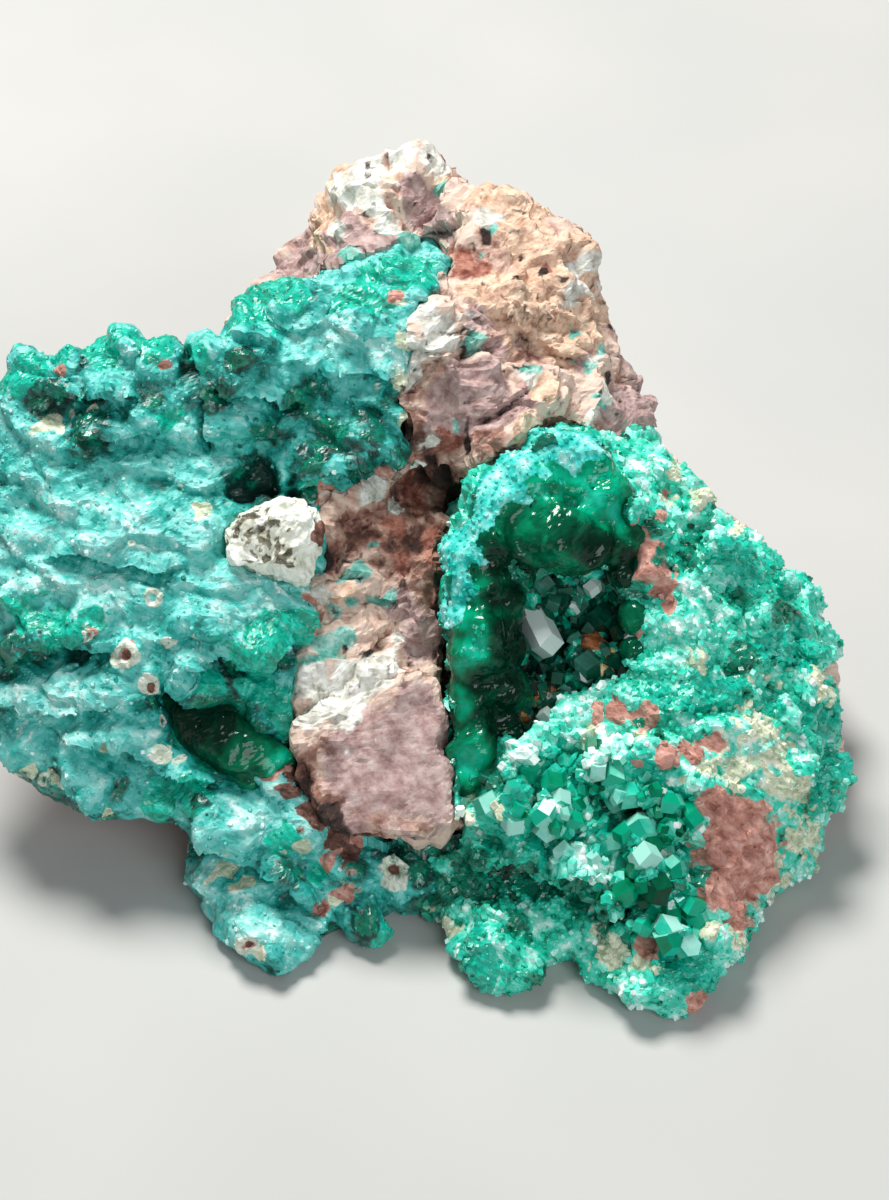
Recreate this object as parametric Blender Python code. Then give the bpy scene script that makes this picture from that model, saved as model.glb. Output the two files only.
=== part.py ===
# Dioptase on host rock: a natural hand specimen, modelled as faceted solids.
# The front is laid out in a front view, in photo pixels and mm of depth, and then
# seated in the room, where Z is up and the base is flat at Z = 0.
import math
import random

import bmesh
import bpy
import numpy as np
from mathutils import Matrix, Vector, noise
from mathutils.geometry import delaunay_2d_cdt

# Sizes that drive the specimen
MM = 0.001
MM_PER_PIXEL = 0.07
CENTRE_PIXEL = (445.0, 600.0)
EYE_DISTANCE = 215.0
VIEW_TILT = math.radians(42.0)
LIFT_UP = 15.3
LIFT_OUT = 10.0
BASE_CENTRE = (-2.7, 7.5)
GAP = 0.3
SIDE_GAP = 1.3 * GAP
BACK_GAP = 1.6 * GAP
CRUST = 4.6
CRUST_REACH = (-14, 6)
SEED = 7

# How the front relief is meshed, rounded at its rim and drawn back
GRID_STEP = 0.85
GRID_MARGIN = 0.4
RIM_ROUND = 3.2
BACK_OUT = -62.0
BACK_SPREAD = 0.8
MIDDLE_PIXEL = (470, 600)
BLEND_VOXEL = 0.45

# Broken relief, as height in mm and waves per mm
BREAKS = (0.55, 0.13)
KNOBS = (0.38, 0.42)
CELLS = (0.9, 0.22)

SIN = math.sin(VIEW_TILT)
COS = math.cos(VIEW_TILT)
ACROSS = Vector((1, 0, 0))
UP = Vector((0, SIN, COS))
OUT = Vector((0, -COS, SIN))

# The outline of the specimen in the front view, clockwise from the left end
OUTLINE_PX = [
    (-36, 430), (-24, 392), (0, 365), (50, 345), (100, 335), (130, 328), (160, 338), (190, 358),
    (200, 345), (225, 310), (260, 290), (270, 290), (280, 270), (300, 235), (320, 200),
    (340, 160), (380, 148), (420, 145), (440, 155), (455, 185), (480, 188), (510, 185),
    (540, 205), (570, 230), (590, 250), (600, 290), (605, 320), (615, 350), (620, 375),
    (640, 400), (648, 430), (655, 440), (680, 470), (700, 500), (740, 530), (790, 580),
    (815, 595), (828, 630), (830, 680), (838, 730), (845, 765), (838, 800), (825, 830),
    (805, 870), (785, 885), (770, 905), (755, 935), (735, 960), (710, 990), (690, 1010),
    (660, 1018), (630, 1010), (600, 985), (580, 960), (570, 950), (520, 990), (500, 988),
    (470, 970), (445, 935), (430, 920), (400, 912), (380, 925), (365, 938), (350, 930),
    (340, 925), (300, 965), (275, 982), (255, 970), (220, 930), (190, 880), (170, 840),
    (110, 825), (50, 800), (20, 780), (0, 760), (-24, 730), (-38, 670), (-44, 560), (-42, 480),
]

# Depth of the front surface, in mm towards the eye, at points of the front view
DEPTH_MARKS_PX = [
    # the left slab
    (-30, 560, -1.0), (0, 420, -1), (60, 380, 1), (130, 345, 1), (0, 550, 0), (100, 480, 2),
    (60, 600, 2.5), (150, 560, 2.5), (230, 620, 3.5), (60, 700, 1.5), (30, 740, 1),
    (150, 700, 1.5), (230, 740, -0.5), (200, 800, 2.5), (130, 790, 1.5), (270, 840, 2.5),
    (100, 820, 0),
    # the upper left lobe
    (250, 310, 1), (340, 290, -1), (420, 280, -1.5), (300, 360, 1.2), (380, 350, 0.8),
    (260, 420, 1), (330, 420, 0), (390, 400, 1), (350, 460, 1.2), (230, 470, 1),
    # the column
    (280, 560, 0.5), (420, 520, -1.5), (400, 580, -1), (450, 490, -4), (370, 640, -0.5),
    (430, 640, -1), (400, 670, 0),
    # under the block
    (340, 720, 1), (440, 700, 0), (440, 820, 1), (340, 800, 1), (300, 750, 1.5),
    # the peak and the rock below it
    (400, 160, -10), (350, 200, -10), (290, 280, -11), (440, 240, -8), (500, 200, -7.5),
    (560, 240, -7.5), (600, 330, -6), (540, 330, -2.5), (470, 300, -2), (450, 400, 0.5),
    (530, 420, 0), (600, 430, -3), (640, 420, -6),
    # the arch
    (470, 560, 3.5), (500, 480, 2.5), (550, 460, 2), (600, 500, 2.5), (620, 560, 2),
    (470, 660, 3), (480, 740, 3), (575, 625, -1.5), (560, 590, 0.2), (600, 655, 0.2),
    (540, 520, 3.2), (585, 515, 3.0), (522, 700, 0.6), (500, 610, 2.8), (636, 610, 1.6),
    # the right shoulder
    (670, 500, -1), (720, 560, -1.5), (680, 600, 1.5), (780, 600, -5), (820, 640, -8),
    (760, 680, 0), (700, 680, 2.5), (820, 720, -4.5), (840, 770, -5), (800, 800, 0),
    (720, 740, 3.5),
    # the lower right
    (560, 760, 4), (520, 800, 4.5), (620, 770, 5), (680, 800, 5), (600, 850, 4.5),
    (700, 900, 4.8), (670, 930, 5.6), (760, 830, 3), (740, 920, 3), (790, 870, -1),
    (650, 980, 7), (625, 998, 7.8), (690, 998, 7.6), (655, 1010, 8.4), (732, 948, 4.8),
    (604, 970, 6),
    # the dark front below the block
    (420, 860, 0.5), (480, 850, 0.5), (380, 870, 1), (500, 900, 1.5), (450, 925, 2.4),
    (475, 955, 5), (500, 975, 6.4), (525, 978, 6.6), (565, 942, 3.8), (510, 930, 3.6),
    (400, 905, -0.5), (360, 920, 1.5),
    # the spur
    (200, 870, 0), (260, 900, 2), (300, 900, 1.5), (272, 965, 5.4), (330, 900, 0.5),
]

# Ledges: a lip along the line and a recess below it, as (points, lip mm, recess mm, reach mm)
LEDGES_PX = [
    ([(0, 655), (40, 650), (70, 640), (110, 655)], 0.8, 1.9, 1.8),
    ([(182, 678), (215, 657), (262, 655), (300, 640)], 0.9, 1.8, 1.8),
    ([(163, 682), (192, 701), (234, 709), (264, 726), (291, 744)], 1.2, 3.4, 2.2),
    ([(165, 840), (215, 845), (260, 870), (300, 895), (330, 905)], 0.6, 2.0, 1.2),
    ([(33, 402), (97, 397), (143, 397)], 0.5, 0.8, 1.4),
    ([(82, 438), (143, 435)], 0.5, 0.8, 1.4),
    ([(229, 337), (276, 345)], 0.4, 0.7, 1.2),
    ([(208, 383), (263, 396), (307, 402)], 0.5, 1.1, 1.5),
    ([(322, 375), (399, 371)], 0.5, 0.9, 1.4),
    ([(292, 479), (349, 465), (410, 446)], 0.6, 1.2, 1.4),
    ([(465, 870), (498, 863), (534, 859), (551, 872), (588, 874), (622, 890), (637, 928),
      (670, 943), (718, 958)], 0.8, 1.6, 1.4),
    ([(395, 480), (420, 470), (452, 462)], 0.4, 1.6, 1.3),
    ([(470, 300), (520, 330), (560, 352), (600, 350)], 0.3, 1.0, 1.3),
    ([(300, 600), (360, 592), (415, 598)], 0.4, 0.9, 1.0),
    ([(640, 720), (690, 712), (740, 700)], 0.4, 0.8, 1.1),
    ([(454, 256), (400, 258), (342, 282), (266, 288)], 0.6, 4.5, 2.6),
    ([(196, 350), (206, 400), (212, 452)], 0.3, 1.4, 1.6),
    ([(400, 452), (425, 478), (450, 490), (475, 465), (530, 432)], 0.7, 2.2, 1.5),
    ([(470, 492), (452, 520), (447, 580), (450, 650), (452, 772)], 0.7, 1.8, 1.4),
    ([(455, 188), (440, 215), (420, 240)], 0.6, 1.8, 1.8),
    ([(40, 560), (90, 552), (140, 570), (190, 566)], 0.5, 1.0, 1.6),
    ([(60, 745), (110, 735), (165, 772), (205, 782), (270, 784)], 0.6, 1.2, 1.4),
    ([(0, 700), (60, 715), (120, 700)], 0.5, 1.0, 1.5),
]

# Round pits with a raised ring, as (x, y, radius mm, ring mm)
RING_PITS_PX = [
    (125, 655, 1.2, 0.6), (150, 685, 1.2, 0.5), (195, 638, 1.3, 0.6), (150, 505, 1.2, 0.5),
    (390, 872, 1.3, 0.8), (165, 757, 1.2, 0.5), (152, 597, 1.1, 0.5), (250, 945, 1.1, 0.5),
    (205, 520, 1.2, 0.5),
]

# Rounded crystal masses along the arch and the lower right, as (x, y, out mm, radius mm)
LUMPS_PX = [
    (474, 770, 1.6, 2.1), (466, 725, 1.7, 1.9), (474, 680, 1.9, 1.7), (470, 640, 2.2, 1.7),
    (468, 600, 2.4, 1.9), (470, 555, 2.4, 2.1), (490, 512, 1.8, 2.3), (527, 482, 1.2, 2.5),
    (562, 455, 0.4, 2.3), (590, 478, 0.2, 2.2), (609, 510, 0.8, 1.9), (556, 508, 0.8, 2.3),
    (592, 540, 0.6, 1.7), (622, 550, 0.8, 1.5), (505, 620, 0.8, 1.7), (500, 665, 0.4, 1.6),
    (536, 770, 3.2, 2.1), (505, 812, 3.4, 2.2), (560, 735, 2.4, 1.8), (585, 800, 3.6, 1.8),
    (668, 782, 3.8, 1.8), (655, 880, 3.4, 2.4), (690, 920, 3.2, 2.0), (620, 905, 3.0, 1.8),
    (700, 860, 3.4, 1.7), (665, 960, 2.6, 2.2), (712, 560, -2.4, 2.2), (765, 640, -3.2, 2.4),
    (800, 700, -3.0, 2.2), (785, 760, -1.0, 2.0), (820, 780, -4.0, 2.2), (650, 465, -3.6, 1.9),
    (300, 305, -0.6, 1.7), (345, 292, -1.6, 1.8), (392, 285, -2.2, 1.8), (120, 352, 0.2, 1.6),
    (72, 362, 0.2, 1.7), (28, 378, -1.0, 1.8), (372, 915, 0.4, 1.3), (352, 868, 0.6, 1.4),
]
LUMP_FLATNESS = 0.9

# The flat-faced block, as (x, y, out mm)
BLOCK_PX = [
    (292, 742, 2.6), (346, 832, 3.6), (464, 824, 3.8), (452, 700, 2.6), (384, 662, 1.6),
    (300, 735, -5), (352, 806, -5), (450, 802, -5), (446, 700, -5), (384, 676, -5),
    (316, 712, 2.2), (302, 790, 2.8),
]

# The body behind the front: rough blocks, with a near ring in the front view
# and far corners in room mm
NEAR_RING_PX = [
    (262, 250), (300, 130), (450, 125), (600, 210), (680, 380), (860, 560), (870, 820),
    (700, 1040), (470, 1010), (240, 1000), (190, 860), (210, 330),
]
FAR_CORNERS = [
    (-10, 34, 36), (7, 35, 35), (13, 31, 25), (-15, 31, 18), (17, 29, 15), (24, 20, 8),
    (-12, 24, -3), (-19, 8, -3), (-18, -8, -3), (10, 28, -3), (21, 15, -3), (28, 4, -3),
    (25, -10, -3), (9, -20, -3), (-12, -18, -3), (29, 9, 11), (-2, 35, 22),
]
SLAB_NEAR_PX = [(-70, 300), (150, 290), (300, 300), (320, 900), (60, 860), (-70, 800)]
SLAB_FAR_PX = [
    (-30, 430, -5), (60, 390, -8), (160, 380, -10), (250, 400, -16), (260, 790, -14),
    (120, 790, -9), (20, 750, -6), (-32, 680, -4.5), (110, 560, -12),
]
NEAR_OUT = 12.0
FLOOR_HALF = 90
FLOOR_DEEP = 40

# The region of each crust in the front view, reaching past the outline
LEFT_REGION_PX = [
    (-90, 260), (150, 250), (228, 280), (264, 282), (300, 279), (342, 274), (396, 251),
    (430, 246), (450, 266), (418, 300), (404, 340),
    (398, 400), (408, 455), (380, 475), (322, 498), (316, 560), (300, 580), (312, 640),
    (296, 690), (286, 740), (296, 790), (342, 840), (462, 834), (438, 866), (396, 960),
    (400, 1040), (290, 1060), (150, 1000), (-90, 840),
]
RIGHT_REGION_PX = [
    (470, 478), (520, 455), (560, 424), (604, 440), (640, 432), (700, 400), (900, 540),
    (900, 860), (800, 1060), (640, 1090), (560, 1040), (440, 1040), (400, 960), (442, 868),
    (468, 838), (450, 770), (446, 640), (446, 540),
]

# The hollow, as (x, y, out mm, half sizes mm across, up and out)
HOLLOWS_PX = [(576, 630, -1.2, 4.6, 5.1, 6.6), (524, 700, -0.6, 2.9, 4.4, 5.2)]
SMALL_HOLLOW_PX = (624, 812, 4.4)
SMALL_HOLLOW_HALF = (2.4, 1.7, 2.2)
HOLLOW_VOXEL = 0.5
LINING = 1.1
POCKET_GAP = 0.45
PRISM_INSET = 0.2
MOUTH_X = (380, 760)
MOUTH_Y = (440, 840)
MOUTH_OUT = (-0.4, 20)

# Prisms in the hollow, as (foot x, y, out mm, tip x, y, out mm, width mm)
PRISMS_PX = [
    (549, 664, -4.4, 534, 574, -0.2, 3.0),
    (586, 670, -5.2, 572, 590, -1.6, 2.6),
    (618, 640, -4.4, 598, 618, -0.6, 2.2),
    (600, 690, -3.6, 590, 640, 0.2, 2.0),
    (610, 590, -4.4, 590, 600, -0.8, 2.0),
    (572, 566, -4.4, 566, 600, -1.0, 2.0),
    (530, 610, -3.8, 546, 620, -0.6, 1.8),
    (630, 670, -3.0, 612, 652, 0.2, 1.7),
    (520, 740, -3.6, 524, 700, -0.2, 1.9),
    (500, 700, -3.0, 518, 680, -0.4, 1.7),
    (546, 710, -2.8, 538, 690, 0.2, 1.6),
    (600, 560, -3.6, 590, 575, -0.8, 1.6),
]

# Crystals with flat faces on the right crust, as (x, y, lean across, lean up, width mm)
FACETED_PX = [
    (480, 530, -0.7, 0.4, 2.8), (508, 494, -0.5, 0.7, 2.6), (548, 474, -0.1, 0.9, 3.0),
    (586, 488, 0.4, 0.8, 2.7), (610, 528, 0.7, 0.5, 2.2), (474, 588, -0.8, 0.1, 2.6),
    (478, 640, -0.8, -0.1, 2.3), (476, 700, -0.8, -0.2, 2.4), (486, 760, -0.5, -0.6, 2.4),
    (540, 520, 0.1, -0.5, 2.9), (578, 530, 0.2, -0.6, 2.4), (506, 572, 0.6, -0.2, 2.2),
    (518, 792, -0.4, 0.3, 2.4), (548, 758, -0.2, 0.6, 2.3), (582, 772, 0.2, 0.6, 2.6),
    (640, 768, 0.3, 0.7, 2.4), (682, 792, 0.6, 0.4, 2.6), (566, 816, -0.3, 0.1, 2.6),
    (590, 848, -0.2, -0.5, 2.7), (640, 856, 0.1, -0.4, 3.0), (668, 836, 0.5, 0.1, 2.6),
    (682, 884, 0.6, -0.2, 3.0), (650, 905, 0.1, -0.7, 2.6), (692, 922, 0.6, -0.5, 2.4),
    (616, 882, -0.2, -0.7, 2.4), (538, 838, -0.4, -0.5, 2.3), (502, 842, -0.6, -0.4, 2.2),
    (708, 560, 0.3, 0.3, 2.0), (742, 622, 0.5, 0.2, 2.3), (772, 594, 0.6, 0.6, 2.0),
    (792, 660, 0.8, 0.1, 2.2), (768, 706, 0.5, -0.2, 2.0), (796, 742, 0.8, -0.1, 2.2),
    (690, 520, 0.3, 0.6, 2.0), (658, 490, 0.2, 0.8, 1.9), (796, 796, 0.8, -0.4, 2.2),
]

CRYSTAL_ROOT = 2.0
CRYSTAL_LENGTHS = (0.45, 0.75)

KNOB_PX = (274, 540, 1.6)
KNOB_HALF = (3.2, 2.8, 2.8)

# How rough each rounded space or lump is, and the seed of its roughness
BALL_DETAIL = 2
LUMP_ROUGH = 0.25
HOLLOW_ROUGH = 0.12
KNOB_ROUGH, KNOB_SEED = 0.35, 3.1
SMALL_ROUGH, SMALL_SEED = 0.2, 5.5

# Triangles kept for the body before it is parted, and the grid of the space that parts a crust
BODY_TRIANGLES = 4350
HOLLOW_TRIANGLES = 300
CUTTER_STEP = 3.6
CUTTER_MARGIN = 1.2
CUTTER_OUT = 16.0


def front(x, y):
    """A photo pixel to (across, up) in mm."""
    return (
        (x - CENTRE_PIXEL[0]) * MM_PER_PIXEL,
        (CENTRE_PIXEL[1] - y) * MM_PER_PIXEL,
    )


def seat(across, up, out):
    """A point of the front view in mm, drawn along its line of sight, to room metres."""
    near = (EYE_DISTANCE - out) / EYE_DISTANCE
    v = up * near + LIFT_UP
    w = out + LIFT_OUT
    return Vector((
        across * near - BASE_CENTRE[0],
        v * SIN - w * COS - BASE_CENTRE[1],
        v * COS + w * SIN,
    )) * MM


def room(x, y, z):
    """A point of the body's far corners, in mm, to room metres."""
    return Vector((x - BASE_CENTRE[0], y - BASE_CENTRE[1], z)) * MM


def seat_pixel(x, y, out):
    return seat(*front(x, y), out)


def thin_plate(marks):
    """Weights of the smoothest sheet through marks of (across, up, out)."""
    marks = np.array(marks, float)
    spots = marks[:, :2]
    gap = np.linalg.norm(spots[:, None] - spots[None], axis=2)
    kernel = np.where(gap > 0, gap**2 * np.log(np.maximum(gap, 1e-9)), 0)
    kernel += np.eye(len(spots)) * 2.0
    flat = np.c_[np.ones(len(spots)), spots]
    left = np.block([[kernel, flat], [flat.T, np.zeros((3, 3))]])
    return spots, np.linalg.solve(left, np.r_[marks[:, 2], np.zeros(3)])


def sheet_depth(sheet, spots):
    marks, weights = sheet
    gap = np.linalg.norm(spots[:, None] - marks[None], axis=2)
    kernel = np.where(gap > 0, gap**2 * np.log(np.maximum(gap, 1e-9)), 0)
    return kernel @ weights[:-3] + np.c_[np.ones(len(spots)), spots] @ weights[-3:]


def line_distance(spots, line):
    """Distance to a line of points, its side (positive below) and the share of its length."""
    line = np.array(line, float)
    start, run = line[:-1], np.diff(line, axis=0)
    lengths = np.linalg.norm(run, axis=1)
    away = spots[:, None] - start[None]
    share = np.clip((away * run).sum(2) / (lengths**2), 0, 1)
    off = away - share[:, :, None] * run
    gap = np.linalg.norm(off, axis=2)
    nearest = gap.argmin(1)
    rows = np.arange(len(spots))
    side = -np.sign(run[nearest, 0] * off[rows, nearest, 1] - run[nearest, 1] * off[rows, nearest, 0])
    before = np.r_[0, np.cumsum(lengths)][nearest]
    along = (before + share[rows, nearest] * lengths[nearest]) / lengths.sum()
    return gap[rows, nearest], side, along


def front_depth(spots, rim=None):
    """Depth of the front surface: the sheet, its ledges and ring pits, rolled off at the rim."""
    depth = sheet_depth(FRONT_SHEET, spots)
    for line, lip, recess, reach in LEDGES_PX:
        gap, side, along = line_distance(spots, [front(x, y) for x, y in line])
        ends = np.clip(8 * along * (1 - along), 0, 1)
        below = -recess * np.exp(-gap / reach) * np.clip(gap / 0.5, 0, 1)
        above = lip * np.exp(-gap / reach)
        depth += ends * np.where(side > 0, below, above)
    for x, y, radius, ring in RING_PITS_PX:
        gap = np.linalg.norm(spots - np.array(front(x, y)), axis=1) / radius
        depth += ring * np.exp(-((gap - 0.8) / 0.45) ** 2) - ring * 0.7 * np.exp(-((gap / 0.5) ** 2))
    if rim is not None:
        gap = np.clip(1 - rim / RIM_ROUND, 0, 1)
        depth -= RIM_ROUND * (1 - np.sqrt(np.clip(1 - gap**2, 0, 1)))
    return depth


def inside(spots, ring):
    ring = np.array(ring, float)
    x, y = spots[:, 0], spots[:, 1]
    odd = np.zeros(len(spots), bool)
    for (x0, y0), (x1, y1) in zip(ring, np.roll(ring, -1, axis=0)):
        crosses = (y0 > y) != (y1 > y)
        where = (x1 - x0) * (y - y0) / (y1 - y0 if y1 != y0 else 1) + x0
        odd ^= crosses & (x < where)
    return odd


def resampled(ring, step):
    points = []
    for (x0, y0), (x1, y1) in zip(ring, ring[1:] + ring[:1]):
        count = max(1, round(math.hypot(x1 - x0, y1 - y0) / step))
        points += [(x0 + (x1 - x0) * i / count, y0 + (y1 - y0) * i / count) for i in range(count)]
    return points


def grid_in(ring, step, margin):
    """Points of a staggered grid inside a ring, and the faces that join them to it."""
    edge = resampled(ring, step)
    low, high = np.min(edge, axis=0), np.max(edge, axis=0)
    rows = []
    for j, y in enumerate(np.arange(low[1], high[1], step * 0.87)):
        for x in np.arange(low[0] + (j % 2) * step / 2, high[0], step):
            rows.append((x, y))
    rows = np.array(rows)
    gap = line_distance(rows, edge + edge[:1])[0]
    rows = rows[inside(rows, edge) & (gap > margin)]
    points = [Vector(p) for p in edge] + [Vector(p) for p in rows]
    count = len(edge)
    edges = [(i, (i + 1) % count) for i in range(count)]
    spots, _, faces, _, _, _ = delaunay_2d_cdt(points, edges, [], 1, 1e-6)
    return np.array([tuple(p) for p in spots]), [list(f) for f in faces], edge


def solid_between(name, spots, faces, near, far, spread=1.0):
    """A closed mesh between two depths of the same front-view points."""
    count = len(spots)
    middle = np.array(front(*MIDDLE_PIXEL))
    back = middle + (spots - middle) * spread
    mesh_points = [seat(a, b, c) for (a, b), c in zip(spots, near)]
    mesh_points += [seat(a, b, c) for (a, b), c in zip(back, far)]
    uses = {}
    for face in faces:
        for a, b in zip(face, face[1:] + face[:1]):
            uses[(a, b)] = True
    rim = [(a, b) for a, b in uses if (b, a) not in uses]
    all_faces = [list(f) for f in faces]
    all_faces += [[i + count for i in reversed(f)] for f in faces]
    all_faces += [[b, a, a + count, b + count] for a, b in rim]
    return mesh_object(name, mesh_points, all_faces)


def mesh_object(name, points, faces):
    mesh = bpy.data.meshes.new(name)
    mesh.from_pydata([tuple(p) for p in points], [], faces)
    work = bmesh.new()
    work.from_mesh(mesh)
    bmesh.ops.recalc_face_normals(work, faces=work.faces)
    if work.calc_volume(signed=True) < 0:
        bmesh.ops.reverse_faces(work, faces=work.faces)
    work.to_mesh(mesh)
    work.free()
    item = bpy.data.objects.new(name, mesh)
    bpy.context.scene.collection.objects.link(item)
    return item


def hull_object(name, points):
    work = bmesh.new()
    for point in points:
        work.verts.new(point)
    bmesh.ops.convex_hull(work, input=work.verts)
    loose = [v for v in work.verts if not v.link_faces]
    bmesh.ops.delete(work, geom=loose, context="VERTS")
    bmesh.ops.recalc_face_normals(work, faces=work.faces)
    mesh = bpy.data.meshes.new(name)
    work.to_mesh(mesh)
    work.free()
    item = bpy.data.objects.new(name, mesh)
    bpy.context.scene.collection.objects.link(item)
    return item


def ball(name, centre, halves, rough, seed, detail=BALL_DETAIL):
    """A rough ellipsoid with its axes across, up and out, in mm at a seated centre."""
    work = bmesh.new()
    bmesh.ops.create_icosphere(work, subdivisions=detail, radius=1.0)
    for vert in work.verts:
        puff = 1 + rough * noise.noise(vert.co * 2.3 + Vector((seed, seed, seed)))
        a, b, c = (vert.co[i] * halves[i] * puff * MM for i in range(3))
        vert.co = centre + ACROSS * a + UP * b + OUT * c
    mesh = bpy.data.meshes.new(name)
    work.to_mesh(mesh)
    work.free()
    item = bpy.data.objects.new(name, mesh)
    bpy.context.scene.collection.objects.link(item)
    return item


def hollow_space(name, less):
    """The space of the hollow, drawn in from its wall by so many mm."""
    halves = [ball(name, seat_pixel(x, y, out), (a - less, b - less, c - less), HOLLOW_ROUGH,
                   x * 0.01, BALL_DETAIL + 1)
              for x, y, out, a, b, c in HOLLOWS_PX]
    space = remeshed(joined(halves, name), HOLLOW_VOXEL)
    reduce = space.modifiers.new("Reduce", "DECIMATE")
    reduce.ratio = HOLLOW_TRIANGLES / (2 * len(space.data.polygons))
    return largest_body(baked(space))


def crystal_points(foot, tip, width, turn):
    """Corners and faces of a six-sided prism with a three-faced tip."""
    axis = (tip - foot).normalized()
    side = axis.orthogonal().normalized()
    side.rotate(Matrix.Rotation(turn, 3, axis))
    other = axis.cross(side)
    radius = width / 2 * MM
    drop = radius * 0.5
    shoulder = tip - axis * drop
    points = []
    for level, heights in ((foot, (0, 0)), (shoulder, (0, -drop))):
        for i in range(6):
            angle = math.radians(60 * i)
            arm = side * math.cos(angle) + other * math.sin(angle)
            points.append(level + arm * radius + axis * heights[i % 2])
    points.append(tip)
    faces = [[i, (i + 1) % 6, (i + 1) % 6 + 6, i + 6] for i in range(6)]
    faces += [[5, 4, 3, 2, 1, 0]]
    faces += [[12, 6 + i, 6 + (i + 1) % 6, 6 + (i + 2) % 6] for i in (0, 2, 4)]
    return points, faces


def crystals_object(name, crystals):
    points, faces = [], []
    for foot, tip, width, turn in crystals:
        more, joined = crystal_points(foot, tip, width, turn)
        faces += [[i + len(points) for i in f] for f in joined]
        points += more
    return mesh_object(name, points, faces)


def baked(item):
    """Turns an object's modifiers into its plain mesh."""
    bpy.context.view_layer.update()
    graph = bpy.context.evaluated_depsgraph_get()
    mesh = bpy.data.meshes.new_from_object(item.evaluated_get(graph))
    item.modifiers.clear()
    old = item.data
    item.data = mesh
    bpy.data.meshes.remove(old)
    return item


def joined(items, name):
    """One mesh object of several, their bodies left as they are."""
    work = bmesh.new()
    for item in items:
        work.from_mesh(item.data)
        bpy.data.objects.remove(item)
    mesh = bpy.data.meshes.new(name)
    work.to_mesh(mesh)
    work.free()
    item = bpy.data.objects.new(name, mesh)
    bpy.context.scene.collection.objects.link(item)
    return item


def remeshed(item, size):
    modifier = item.modifiers.new("Blend", "REMESH")
    modifier.mode = "VOXEL"
    modifier.voxel_size = size * MM
    return baked(item)


def boolean(item, other, operation, overlapping=False):
    modifier = item.modifiers.new("Cut", "BOOLEAN")
    modifier.operation = operation
    modifier.solver = "EXACT"
    modifier.use_self = overlapping
    modifier.object = other
    return baked(item)


def copy_of(item, name):
    other = bpy.data.objects.new(name, item.data.copy())
    bpy.context.scene.collection.objects.link(other)
    return other


def largest_body(item):
    """Keeps the largest closed body of a mesh, and tidies faces with no area."""
    work = bmesh.new()
    work.from_mesh(item.data)
    bmesh.ops.remove_doubles(work, verts=work.verts, dist=2e-6)
    bmesh.ops.dissolve_degenerate(work, edges=work.edges, dist=2e-6)
    bmesh.ops.triangulate(work, faces=work.faces)
    work.faces.ensure_lookup_table()
    seen, bodies = set(), []
    for face in work.faces:
        if face.index in seen:
            continue
        body, stack = [], [face]
        seen.add(face.index)
        while stack:
            here = stack.pop()
            body.append(here)
            for edge in here.edges:
                for link in edge.link_faces:
                    if link.index not in seen:
                        seen.add(link.index)
                        stack.append(link)
        bodies.append(body)

    def volume(body):
        return sum(f.verts[0].co.dot(f.verts[1].co.cross(f.verts[2].co)) for f in body) / 6

    bodies.sort(key=volume, reverse=True)
    print(item.name, "bodies mm3", [round(volume(b) * 1e9, 1) for b in bodies[:4]])
    drop = [face for body in bodies[1:] for face in body]
    bmesh.ops.delete(work, geom=drop, context="FACES")
    work.to_mesh(item.data)
    work.free()
    return item


def roughened(item):
    """Broken, lumpy relief: coarse blocks on the rock, rounder knobs on the crusts."""
    mesh = item.data
    normals = [v.normal.copy() for v in mesh.vertices]
    for vert, normal in zip(mesh.vertices, normals):
        spot = vert.co / MM
        coarse = noise.fractal(spot * BREAKS[1], 0.9, 2.1, 2)
        knobs = noise.fractal(spot * KNOBS[1] + Vector((9, 4, 2)), 0.8, 2.0, 2)
        cells = noise.voronoi(spot * CELLS[1])[0]
        blocky = min(cells[1] - cells[0], 0.5) - 0.25
        vert.co += normal * (BREAKS[0] * coarse + KNOBS[0] * knobs + CELLS[0] * blocky) * MM
    return item


def region_cutter(name, ring, side_gap=0, back_gap=0):
    """The space of a crust: from well in front to its thickness behind the front surface."""
    spots, faces, edge = grid_in([front(x, y) for x, y in ring], CUTTER_STEP, CUTTER_MARGIN)
    depth = sheet_depth(FRONT_SHEET, spots)
    edge = np.array(edge)
    tangent = np.roll(edge, -1, axis=0) - np.roll(edge, 1, axis=0)
    tangent /= np.linalg.norm(tangent, axis=1)[:, None]
    outward = np.c_[-tangent[:, 1], tangent[:, 0]]
    x, y = edge.T
    if (x * np.roll(y, -1) - y * np.roll(x, -1)).sum() > 0:
        outward = -outward
    spots[:len(edge)] += outward * side_gap
    depth = np.minimum(depth, sheet_depth(FRONT_SHEET, spots))
    depth = np.clip(depth, *CRUST_REACH) - CRUST - back_gap
    return solid_between(name, spots, faces, np.full(len(spots), CUTTER_OUT), depth)


for old in list(bpy.data.objects):
    bpy.data.objects.remove(old)

FRONT_SHEET = thin_plate([(*front(x, y), out) for x, y, out in DEPTH_MARKS_PX])
rng = random.Random(SEED)

# The front relief, drawn back along the lines of sight
ring = [front(x, y) for x, y in OUTLINE_PX]
spots, faces, edge = grid_in(ring, GRID_STEP, GRID_MARGIN)
rim_gap = line_distance(spots, edge + edge[:1])[0]
near = front_depth(spots, rim_gap)
relief = solid_between("relief", spots, faces, near, np.full(len(spots), BACK_OUT), BACK_SPREAD)

# The mass behind it: two rough blocks
body = hull_object("body", [seat_pixel(x, y, NEAR_OUT) for x, y in NEAR_RING_PX]
                   + [room(*corner) for corner in FAR_CORNERS])
slab = hull_object("slab", [seat_pixel(x, y, NEAR_OUT) for x, y in SLAB_NEAR_PX]
                   + [seat_pixel(x, y, out) for x, y, out in SLAB_FAR_PX])
mass = boolean(body, slab, "UNION")
bpy.data.objects.remove(slab)
whole = boolean(relief, mass, "INTERSECT")
bpy.data.objects.remove(mass)

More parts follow.
